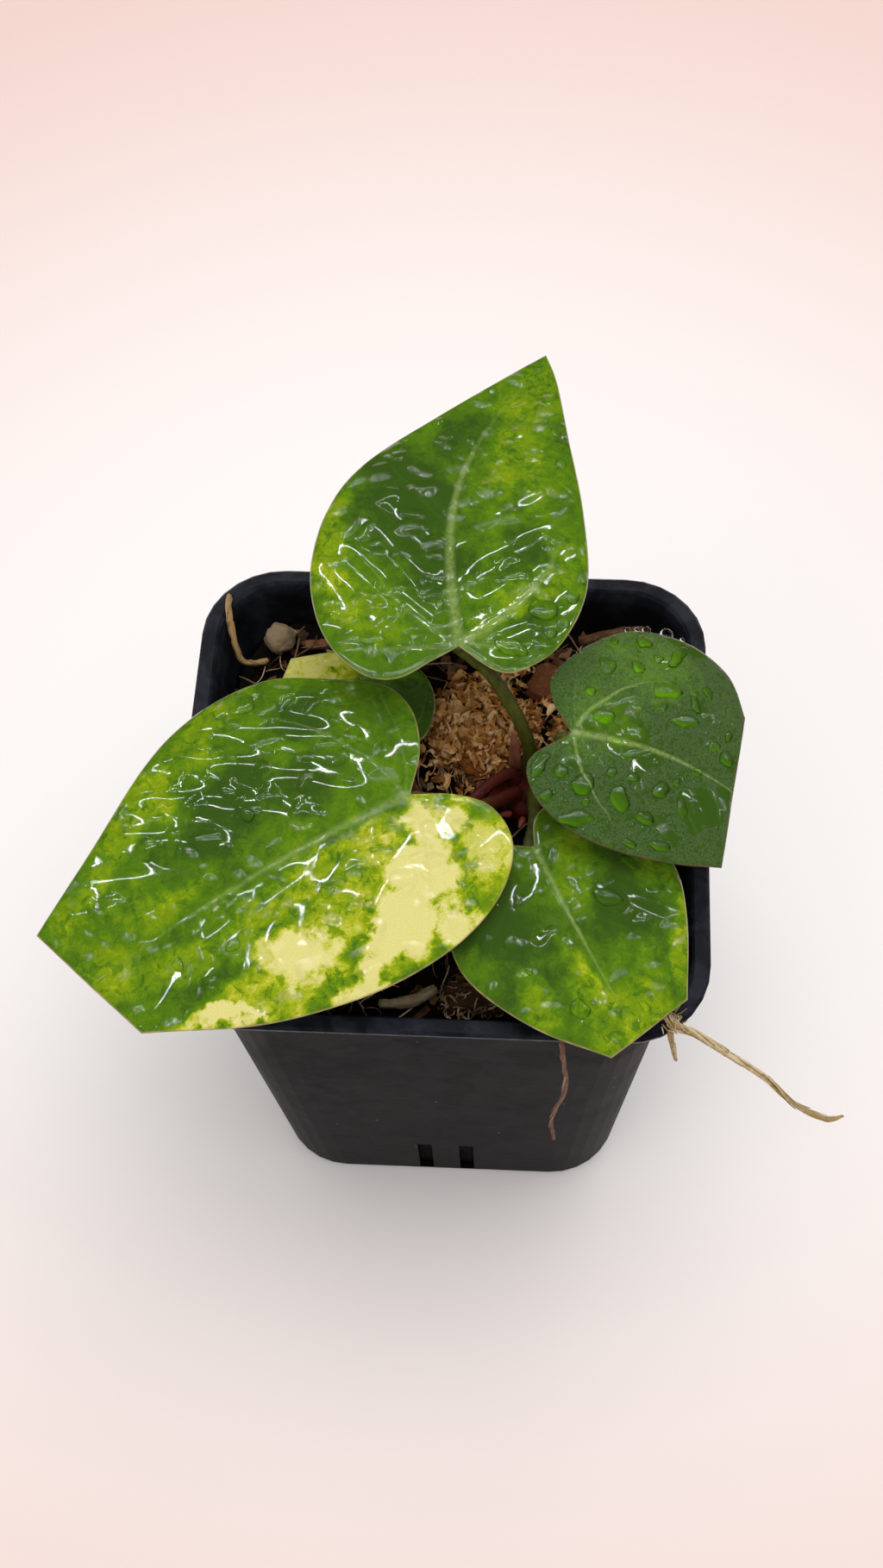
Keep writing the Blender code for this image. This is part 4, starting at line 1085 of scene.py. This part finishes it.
def bead_tree():
    """Sets a drop on each point by its own size and turn, then makes the outlines uneven."""
    t, i = new_node_tree("Set Drops", {"Places": 'Geometry', "Drop": 'Object', "Raggedness": 'Float',
                                       "Material": 'Material'})

    def stored(name):
        return t.get('GeometryNodeInputNamedAttribute', {"Name": name}, data_type='FLOAT_VECTOR')

    laid = t.get('GeometryNodeInstanceOnPoints', {
        "Points": i["Places"], "Scale": stored("size"),
        "Instance": t.get('GeometryNodeObjectInfo', {"Object": i["Drop"]}, "Geometry"),
        "Rotation": t.get('FunctionNodeEulerToRotation', {0: stored("turn")})})
    real = t.get('GeometryNodeRealizeInstances', {0: laid})
    wave = t.noise(t.get('GeometryNodeInputPosition'), 420.0, 1.0, output=1) - HALF
    moved = t.get('GeometryNodeSetPosition', {
        "Geometry": real, "Offset": wave * i["Raggedness"] * (2.0, 2.0, 0.4)})
    final = t.get('GeometryNodeSetMaterial', {"Geometry": moved, "Material": i["Material"]})
    t.node('NodeGroupOutput', {0: final})
    return t.tree


def run_nodes(name, mesh, tree, sources, **values):
    """Plain mesh that a node tree makes from another mesh and from source pieces, which are then removed."""
    home = bpy.data.collections.new(name + "_source")
    for k, source in enumerate(sources):
        home.objects.link(bpy.data.objects.new(f"{name}_source_{k}", source))
    values.update(pieces=home, drop=home.objects[0])
    carrier = linked(name + "_carrier", mesh)
    mod = carrier.modifiers.new("nodes", 'NODES')
    mod.node_group = tree
    for item in tree.interface.items_tree:
        if item.in_out == 'INPUT' and item.name.lower() in values:
            mod[item.identifier] = values[item.name.lower()]
    made = bpy.data.meshes.new_from_object(carrier.evaluated_get(bpy.context.evaluated_depsgraph_get()))
    made.name = name
    made.materials.clear()
    for obj in (carrier, *home.objects):
        bpy.data.objects.remove(obj, do_unlink=True)
    bpy.data.collections.remove(home)
    bpy.data.meshes.remove(mesh)
    return made


def chip_meshes(count, seed):
    """Angular shards of bark."""
    rng = np.random.default_rng(seed)
    made = []
    for k in range(count):
        bm = bmesh.new()
        for point in rng.uniform(-1, 1, (13, 3)) * np.array([2.4, 1.3, 0.55]) * rng.uniform(0.8, 1.2, 3):
            bm.verts.new(point * MM)
        bmesh.ops.convex_hull(bm, input=bm.verts)
        for vert in [v for v in bm.verts if not v.link_faces]:
            bm.verts.remove(vert)
        made.append(mesh_from(bm, f"chip_{k}"))
    return made


def strand_meshes(count, seed, length, radius, flat, curl, parts=7):
    """Curled strands or flakes, with few faces."""
    rng = np.random.default_rng(seed)
    sides = 4
    made = []
    for k in range(count):
        bend, wave = rng.uniform(-curl, curl), rng.uniform(-curl, curl)
        points, heading, place = [], 0.0, np.zeros(3)
        for s in range(parts + 1):
            points.append(place.copy())
            heading += bend / parts + wave / parts * math.cos(3.0 * s / parts)
            way = np.array([math.cos(heading), math.sin(heading) * 0.6, math.sin(heading) * 0.5])
            place = place + way * length / parts
        verts = []
        for s, p in enumerate(np.array(points) - np.mean(points, axis=0)):
            thin = math.sin(math.pi * (s + 0.6) / (parts + 1.2)) ** 0.5 * radius
            spin = rng.uniform(-0.3, 0.3) + 0.25 * s
            for c in range(sides):
                a = 2 * math.pi * c / sides
                across, high = math.cos(a) * thin, math.sin(a) * thin * flat
                verts.append((p + np.array([0.0, across * math.cos(spin) - high * math.sin(spin),
                                            across * math.sin(spin) + high * math.cos(spin)])) * MM)
        faces = ring_faces(parts + 1, sides)
        faces += [tuple(range(sides))[::-1], tuple(parts * sides + c for c in range(sides))]
        made.append(new_mesh(f"strand_{k}", verts, faces))
    return made


def mix_top_mesh(lift, keep):
    """Surface of the mix for strewing, with the crown's place left out."""
    steps = np.linspace(-MIX_HALF, MIX_HALF, 48)
    verts, index = [], {}

    def inside(x, y):
        dx, dy = abs(x) - (MIX_HALF - MIX_CORNER), abs(y) - (MIX_HALF - MIX_CORNER)
        square = math.hypot(max(dx, 0), max(dy, 0)) < MIX_CORNER
        return square and math.hypot(x - CROWN[0], y - CROWN[1]) > 6.0 and keep(x, y)

    for a, x in enumerate(steps):
        for b, y in enumerate(steps):
            if inside(x, y):
                index[a, b] = len(verts)
                verts.append(Vector((x, y, mix_height(x, y) + lift)) * MM)
    rings = ([(a, b), (a + 1, b), (a + 1, b + 1), (a, b + 1)] for a, b in index)
    return new_mesh("mix_top", verts, [[index[c] for c in ring] for ring in rings
                                       if all(c in index for c in ring)])


# Operators

class ANTHURIUM_OT_stage(bpy.types.Operator):
    """Add the floor, the soft lights and the camera at the photograph's angle"""
    bl_idname = "anthurium.stage"
    bl_label = "Stage"

    def execute(self, context):
        settings = context.scene.anthurium_stage
        scene = context.scene
        scene.view_settings.view_transform = 'Standard'
        camera = linked("camera", bpy.data.cameras.new("camera"))
        camera.data.sensor_width = 36.0
        camera.data.lens = settings.lens
        camera.data.clip_start, camera.data.clip_end = 0.01, 20.0
        right, up = Vector(CAMERA_RIGHT), Vector(CAMERA_UP)
        camera.matrix_world = Matrix.Translation(Vector(CAMERA_PLACE) * MM) @ Matrix(
            (right, up, right.cross(up))).transposed().to_4x4()
        scene.camera = camera

        self.lamp("soft_light", (0.14, 0.10, 0.98), 1.5, (1.1, 1.1), settings.soft_light, False)
        self.lamp("front_light", (-0.45, -0.70, 0.55), 1.5, (1.2, 1.2), settings.soft_light * 0.25, False)
        for k, degrees in enumerate(STRIP_LEANS):
            lean = math.radians(degrees)
            self.lamp(f"strip_light_{k}", (-0.05, math.sin(lean), math.cos(lean)), 1.0, STRIP_SIZE,
                      settings.strip_light, True)
        world = bpy.data.worlds.new("studio")
        world.use_nodes = True
        sky = world.node_tree.nodes["Background"].inputs
        sky["Color"].default_value, sky["Strength"].default_value = (1.0, 0.985, 0.975, 1.0), settings.ambient
        world.cycles_visibility.glossy = False
        scene.world = world

        t, bsdf = new_material("floor", roughness=0.9)
        # Between 60 and 330 mm from its centre, and faster towards the front, the floor blends to the far
        # colour. This is partly a pink tint and partly painted fall-off of light.
        across, deep, _ = t.parts(t.object_place() - FLOOR_CENTRE)
        reach = t.vector('LENGTH', t.get('ShaderNodeCombineXYZ', {0: across, 1: t.most(deep, deep * -1.35)}))
        t.feeds(bsdf, base_color=t.mix(t.step(reach, 60.0, 330.0), settings.floor, settings.floor_far_tint_and_falloff))
        turns = [2 * math.pi * k / FLOOR_SIDES for k in range(FLOOR_SIDES)]
        ring = [(FLOOR_RADIUS * math.cos(a), FLOOR_RADIUS * math.sin(a), 0.0) for a in turns]
        floor = linked("floor", new_mesh("floor", ring, [tuple(range(FLOOR_SIDES))]))
        set_material(floor, "floor")
        return {'FINISHED'}

    def lamp(self, name, way, far, size, power, glossy):
        """A rectangular light that faces the plant, seen in reflections alone or in none."""
        light = bpy.data.lights.new(name, 'AREA')
        light.shape, light.size, light.size_y, light.energy = 'RECTANGLE', *size, power
        lamp = linked(name, light)
        way = Vector(way).normalized()
        lamp.location = Vector(AIM) + way * far
        lamp.rotation_euler = way.to_track_quat('Z', 'Y').to_euler()
        lamp.visible_glossy, lamp.visible_diffuse = glossy, not glossy


class ANTHURIUM_OT_pot(bpy.types.Operator):
    """Give the nursery pot its dusty black plastic"""
    bl_idname = "anthurium.pot"
    bl_label = "Pot"

    def execute(self, context):
        plastic_material(context.scene.anthurium_pot)
        set_material(frame["nodes"]["pot"], "black_plastic")
        return {'FINISHED'}


class ANTHURIUM_OT_leaves(bpy.types.Operator):
    """Build the five blades with their swelling, veins and marbling"""
    bl_idname = "anthurium.leaves"
    bl_label = "Leaves"

    def execute(self, context):
        settings = context.scene.anthurium_leaf
        underside_material()
        for key, leaf in LEAVES.items():
            leaf_material(key, leaf, settings)
            finished("blade_" + key, blade_mesh("blade_" + key, leaf, settings),
                     ["leaf_face_" + key, "leaf_underside"], replaces="leaf_" + key)
        return {'FINISHED'}


class ANTHURIUM_OT_water(bpy.types.Operator):
    """Set the drops on the blades and along the right blade's margin"""
    bl_idname = "anthurium.water"
    bl_label = "Water"

    def execute(self, context):
        settings = context.scene.anthurium_water
        swell = context.scene.anthurium_leaf.swell / MM
        tree = bead_tree()
        for key, rows in DROPS.items():
            leaf = LEAVES[key]
            places = []
            for u, v, long, wide, angle in rows:
                place, lean, flat = on_blade(leaf, u, v, DROP_LIFT, swell)
                spin = Euler((0, 0, math.radians(angle))).to_matrix()
                up = lean.col[2]
                ahead = flat @ spin @ Vector((1, 0, 0))
                ahead = (ahead - up * ahead.dot(up)).normalized()
                turn = Matrix((ahead, up.cross(ahead), up)).transposed().to_euler()
                places.append((place, turn, (long, wide, settings.bead * (min(long, wide) + 0.2))))
            self.drops("drops_" + key, places, tree, settings.ragged, "leaf_face_" + key, leaf)
        leaf = LEAVES["right"]
        places = []
        for u, v, size in MARGIN_BEADS:
            place, lean, _ = on_blade(leaf, u, v, 0.0, swell)
            places.append((place, lean.to_euler(), (size, size, size)))
        self.drops("drops_margin", places, tree, 0.0, "clear_drop", leaf)
        return {'FINISHED'}

    def drops(self, name, places, tree, ragged, finish, leaf):
        mesh = new_mesh(name + "_places", [place * MM for place, _, _ in places], [])
        for label, values in (("turn", [tuple(turn) for _, turn, _ in places]),
                              ("size", [size for _, _, size in places])):
            mesh.attributes.new(label, 'FLOAT_VECTOR', 'POINT').data.foreach_set(
                "vector", np.array(values, np.float32).ravel())
        made = run_nodes(name, mesh, tree, [dome_mesh(finish == "clear_drop")], raggedness=ragged,
                         material=materials[finish])
        turn, notch = blade_frame(leaf)
        spots = np.zeros(3 * len(made.vertices))
        made.vertices.foreach_get("co", spots)
        give_place(made, ((spots.reshape(-1, 3) / MM - notch) @ turn)[:, :2], 9.0, 1.0)
        finished(name, made, [finish])


def dome_mesh(round_below):
    """One drop, a millimetre in radius: round below where it hangs, and flat where it lies on a leaf."""
    rows, sides = 8, 20
    verts = []
    low = -0.75 if round_below else -0.10
    for k in range(rows):
        z = low + (1.0 - low) * k / rows
        r = math.sqrt(max(1 - z * z, 0)) if round_below else (1 - max(z, 0) ** 2) ** 0.42
        if k == 0 and not round_below:
            r *= 0.92
        turns = [2 * math.pi * s / sides for s in range(sides)]
        verts += [(r * math.cos(a) * MM, r * math.sin(a) * MM, z * MM) for a in turns]
    verts += [(0, 0, low * MM), (0, 0, 1.0 * MM)]
    top = (rows - 1) * sides
    faces = ring_faces(rows, sides) + [((s + 1) % sides, s, rows * sides) for s in range(sides)]
    faces += [(top + s, top + (s + 1) % sides, rows * sides + 1) for s in range(sides)]
    return new_mesh("dome", verts, faces)


class ANTHURIUM_OT_stalks(bpy.types.Operator):
    """Build the petioles, the crown and its papery scales"""
    bl_idname = "anthurium.stalks"
    bl_label = "Stalks and Crown"

    def execute(self, context):
        for key, leaf in LEAVES.items():
            self.stalk(key, leaf)
        mesh = tube_mesh("stem", [(*CROWN, z) for z, _ in STEM], [r for _, r in STEM], steps=5, sides=36,
                         ridges=5, ridge=0.03, lump=0.10)
        finished("stem", mesh, ["crown_stem"], replaces="crown")
        for side, azimuth, span, reach, rise, flare, finish in SCALES:
            finished("scale_" + side, self.scale(azimuth, span, reach, rise, flare), [finish],
                     replaces="sheath_" + side)
        nubs = []
        for k, (x, y, dx, dy) in enumerate(NUBS):
            points = [(x, y, 91.6), (x + dx * 0.5, y + dy * 0.5, 92.6), (x + dx, y + dy, 92.9)]
            nubs.append(tube_mesh(f"nub_{k}", points, (0.65, 0.5, 0.2), lump=0.2, sides=12, seed=k))
        finished("root_nubs", joined("root_nubs", nubs), ["pink_scale"])
        return {'FINISHED'}

    def stalk(self, key, leaf):
        """One petiole: from the crown's top, along its path, to a thickened joint under the blade."""
        turn, notch = blade_frame(leaf)
        angle = math.radians(leaf["ring"])
        x, y = CROWN[0] + PETIOLE_RING * math.cos(angle), CROWN[1] + PETIOLE_RING * math.sin(angle)
        seat = SOLID_HALF + GAP + leaf["radii"][1]

        def under(u, v, depth):
            local = np.array([u, v, float(blade_height(leaf, np.array(u), np.array(v))) - depth])
            return tuple(notch + turn @ local)

        points = [(x, y, CROWN_TOP - 0.5), (x, y, CROWN_TOP + 1.5), *leaf["path"],
                  under(*leaf.get("join", (-1.0, 0.0)), seat + 0.9), under(1.2, 0.1, seat + 0.1),
                  under(3.6, 0.3, seat - 0.3)]
        radii = np.linspace(leaf["radii"][0], leaf["radii"][1], len(points))
        radii[[0, 1, -3, -2, -1]] *= (1.35, 1.15, 1.12, 1.15, 0.6)
        mesh = tube_mesh("tube", points, radii, ridges=3, ridge=0.05, lump=0.10, seed=leaf["ring"])
        joint = lump_mesh("joint", under(0.5, 0.0, 0.45), (1.1, 0.8, 0.6), leaf["heading"], 0.05, 3, 0.05)
        finished("stalk_" + key, joined("stalk_" + key, [mesh, joint]),
                 ["red_stalk" if key in ("left", "small") else "green_stalk"], replaces="petiole_" + key)

    def scale(self, azimuth, span, reach, rise, flare):
        """A papery scale leaf, thick as in the part and crinkled towards its tip."""
        rows, cols = 22, 12
        shells = []
        for side in (-0.3, 0.3):
            for i in range(rows + 1):
                s = i / rows
                for j in range(cols + 1):
                    across = 2 * j / cols - 1
                    a = math.radians(azimuth + across * span * (1 - 0.72 * s ** 1.6))
                    crinkle = 0.22 * s * noise.noise(Vector((across * 2, s * 4, azimuth)))
                    thin = side * (1 - 0.55 * s) * (1 - 0.6 * abs(across) ** 3)
                    r = SHEATH_RING + reach * s ** 1.5 + flare * s * (1 - across * across) + crinkle + thin
                    shells.append(Vector((CROWN[0] + r * math.cos(a), CROWN[1] + r * math.sin(a),
                                          CROWN_TOP + 0.1 + rise * s)) * MM)
        half = (rows + 1) * (cols + 1)
        faces = []
        for i in range(rows):
            for j in range(cols):
                a, b = i * (cols + 1) + j, (i + 1) * (cols + 1) + j
                faces += [(a, b, b + 1, a + 1), (half + a, half + a + 1, half + b + 1, half + b)]
        ring = [*range(cols), *(i * (cols + 1) + cols for i in range(rows)),
                *(rows * (cols + 1) + j for j in range(cols, 0, -1)),
                *(i * (cols + 1) for i in range(rows, 0, -1))]
        faces += [(a, b, half + b, half + a) for a, b in zip(ring, ring[1:] + ring[:1])]
        return new_mesh("scale", shells, faces)


class ANTHURIUM_OT_mix(bpy.types.Operator):
    """Fill the pot with chips, fibres and shredded moss over the solid mix"""
    bl_idname = "anthurium.mix"
    bl_label = "Growing Mix"

    def execute(self, context):
        settings = context.scene.anthurium_mix
        set_material(frame["nodes"]["growing_mix"], "mix_bed")
        tree = scatter_tree()
        for node, (centre, radii, turn, lump, finish) in LUMPS.items():
            mesh = lump_mesh(node, centre, radii, turn, lump, 5 if node == "moss_mound" else 4,
                             0.10 if node == "bark_ball" else 0.16, -0.2 if "moss" in node else 0.55)
            finished(node.replace("bark", "shaped").replace("moss", "heaped"), mesh, [finish], replaces=node)
        for node, (points, radii, finish) in STICKS.items():
            mesh = tube_mesh(node, points, radii, sides=16, ridges=4, ridge=0.14, twist=0.2, lump=0.35,
                             tone=0.7)
            finished(node.replace("stick", "split_stick"), mesh, [finish], replaces=node)

        def strew(name, surface, sources, density, smallest, largest, tilt, finish, shift):
            made = run_nodes(name, surface, tree, sources, density=density, seed=settings.seed + shift,
                             smallest=smallest, largest=largest, tilt=tilt, material=materials[finish])
            finished(name, made, [finish], smooth=False)

        def off_mound(x, y):
            return math.hypot((x - MOUND[0]) / 8.6, (y - MOUND[1]) / 7.4)

        def skirts_mound(x, y):
            return off_mound(x, y) > 0.9 and math.hypot((x - 11) / 19, (y - 16) / 15) < 1

        open_mix = [mix_top_mesh(lift, lambda x, y: off_mound(x, y) > 1.0) for lift in (0.2, 0.7, 0.9)]
        skirt = mix_top_mesh(1.0, skirts_mound)
        chips, fibres, flakes = settings.chips, settings.fibres, settings.flakes
        strew("chips", open_mix[0], chip_meshes(7, 11), chips, 0.45, 1.15, 0.5, "brown_bark", 0)
        strew("pale_chips", open_mix[1], chip_meshes(5, 23), chips * 0.35, 0.3, 0.8, 0.6, "pale_bark", 10)
        strew("fibres", open_mix[2], strand_meshes(6, 5, 7.0, 0.16, 0.8, 2.6), fibres, 0.5, 1.2, 0.45,
              "dry_fibre", 20)
        strew("moss_flakes", lump_mesh("cover", (*MOUND, 91.5), (9.6, 8.4, 4.8), 10),
              strand_meshes(7, 9, 4.4, 0.75, 0.22, 3.2, 6), flakes * 1.6, 0.5, 1.15, 0.9, "shredded_moss", 30)
        strew("moss_skirt", skirt, strand_meshes(7, 19, 4.4, 0.70, 0.22, 3.2, 6), flakes * 0.7, 0.5, 1.1, 0.7,
              "shredded_moss", 60)
        strew("moss_threads", lump_mesh("cover", (*MOUND, 91.4), (9.4, 8.2, 4.4), 10),
              strand_meshes(6, 14, 5.0, 0.13, 0.9, 4.0), flakes * 0.45, 0.5, 1.1, 0.7, "shredded_moss", 40)
        strew("front_curls", lump_mesh("cover", (7.4, -34.8, 92.0), (6.2, 2.9, 2.6), 6),
              strand_meshes(6, 17, 5.6, 0.27, 0.6, 6.0), flakes * 0.8, 0.6, 1.2, 1.0, "dry_fibre", 50)
        return {'FINISHED'}


class ANTHURIUM_OT_roots(bpy.types.Operator):
    """Build the roots that leave the pot, with their loose strands and hairs"""
    bl_idname = "anthurium.roots"
    bl_label = "Roots"

    def execute(self, context):
        settings = context.scene.anthurium_root
        rng = np.random.default_rng(settings.seed)
        hair = settings.hair / MM
        for node, (points, radii, finish, strands) in ROOTS.items():
            wide = np.linspace(radii[0], radii[-1], len(points)) if len(radii) == 2 else np.array(radii)
            thick = node == "root_right"
            meshes = [tube_mesh(node, points, wide * (0.50 if thick else 0.8), steps=8, ridges=5, ridge=0.16,
                                twist=0.9, lump=0.35, seed=strands)]
            path = spline([(*p, r) for p, r in zip(points, wide)], 6)
            meshes += [self.strand(path, rng, hair, thick) for _ in range(strands)]
            if thick:
                meshes += [self.tuft(path, rng, hair * 0.8) for _ in range(46)]
            finished(node.replace("root", "living_root"), joined(node + "_whole", meshes), [finish],
                     replaces=node)
        return {'FINISHED'}

    def strand(self, path, rng, hair, thick):
        """A fibre that winds round the root and lifts off at its end."""
        count = len(path)
        span = int(rng.integers(max(6, count // 5), max(8, count // 2)))
        start = int(rng.integers(0, max(1, count - span)))
        phase, pitch = rng.uniform(0, 6.28), rng.uniform(0.12, 0.4)
        close, loose = (0.54, 0.9) if thick else (0.75, 0.5)
        points = []
        for s in range(span):
            p = path[start + s]
            ahead, behind = path[min(start + s + 1, count - 1)], path[max(start + s - 1, 0)]
            way = Vector((ahead - behind)[:3]).normalized()
            side = way.orthogonal().normalized()
            other = way.cross(side)
            lift = p[3] * close + loose * max(0.0, s / (span - 1) - 0.8) * rng.uniform(0.6, 1.6)
            a = phase + pitch * s
            points.append(tuple(Vector(p[:3]) + (side * math.cos(a) + other * math.sin(a)) * lift))
        return tube_mesh("strand", points, (hair * 1.9, hair * 0.6), steps=2, sides=5,
                         tone=rng.uniform(0.2, 1.0))

    def tuft(self, path, rng, hair):
        """A short curled hair where the root crosses the lip."""
        p = path[int(rng.integers(len(path) * 3 // 10, len(path) * 45 // 100))]
        way = Vector((rng.uniform(-0.6, 1.0), rng.uniform(-1, 0.5), rng.uniform(-0.3, 1.0))).normalized()
        bend = Vector(rng.uniform(-1, 1, 3))
        reach = rng.uniform(1.2, 3.2)
        base = Vector(p[:3]) + Vector(rng.uniform(-1.3, 1.3, 3) * (1.2, 1.0, 0.25))
        points = [tuple(base + way * reach * f + bend * reach * 0.45 * f * f) for f in (0, 0.33, 0.66, 1.0)]
        return tube_mesh("hair", points, (hair * 1.4, hair * 0.5), steps=3, sides=4,
                         tone=rng.uniform(0.3, 1.0))


class ANTHURIUM_PT_panel(bpy.types.Panel):
    bl_label = "Anthurium"
    bl_idname = "ANTHURIUM_PT_panel"
    bl_space_type = 'VIEW_3D'
    bl_region_type = 'UI'
    bl_category = "Anthurium"

    def draw(self, context):
        for name, operators in PANEL:
            box = self.layout.box()
            settings = getattr(context.scene, name)
            for key in settings.__annotations__:
                box.prop(settings, key)
            for operator in operators:
                box.operator(operator.bl_idname)


SETTINGS = {"anthurium_stage": StageSettings, "anthurium_pot": PotSettings, "anthurium_leaf": LeafSettings,
            "anthurium_water": WaterSettings, "anthurium_mix": MixSettings, "anthurium_root": RootSettings}
OPERATORS = (ANTHURIUM_OT_stage, ANTHURIUM_OT_pot, ANTHURIUM_OT_leaves, ANTHURIUM_OT_water,
             ANTHURIUM_OT_stalks, ANTHURIUM_OT_mix, ANTHURIUM_OT_roots)
PANEL = (("anthurium_stage", (ANTHURIUM_OT_stage,)), ("anthurium_pot", (ANTHURIUM_OT_pot,)),
         ("anthurium_leaf", (ANTHURIUM_OT_leaves, ANTHURIUM_OT_stalks)),
         ("anthurium_water", (ANTHURIUM_OT_water,)), ("anthurium_mix", (ANTHURIUM_OT_mix,)),
         ("anthurium_root", (ANTHURIUM_OT_roots,)))


def register():
    for cls in (*SETTINGS.values(), *OPERATORS, ANTHURIUM_PT_panel):
        bpy.utils.register_class(cls)
    for name, cls in SETTINGS.items():
        setattr(bpy.types.Scene, name, bpy.props.PointerProperty(type=cls))


def unregister():
    for name in SETTINGS:
        delattr(bpy.types.Scene, name)
    for cls in reversed((*SETTINGS.values(), *OPERATORS, ANTHURIUM_PT_panel)):
        bpy.utils.unregister_class(cls)


def main():
    for obj in [o for o in bpy.data.objects if o.type in ('CAMERA', 'LIGHT') or o.name == "Cube"]:
        bpy.data.objects.remove(obj, do_unlink=True)
    register()
    build_groups()
    build_materials()
    for operator in OPERATORS:
        getattr(bpy.ops.anthurium, operator.bl_idname.split(".")[1])()


if __name__ == "__main__":
    main()
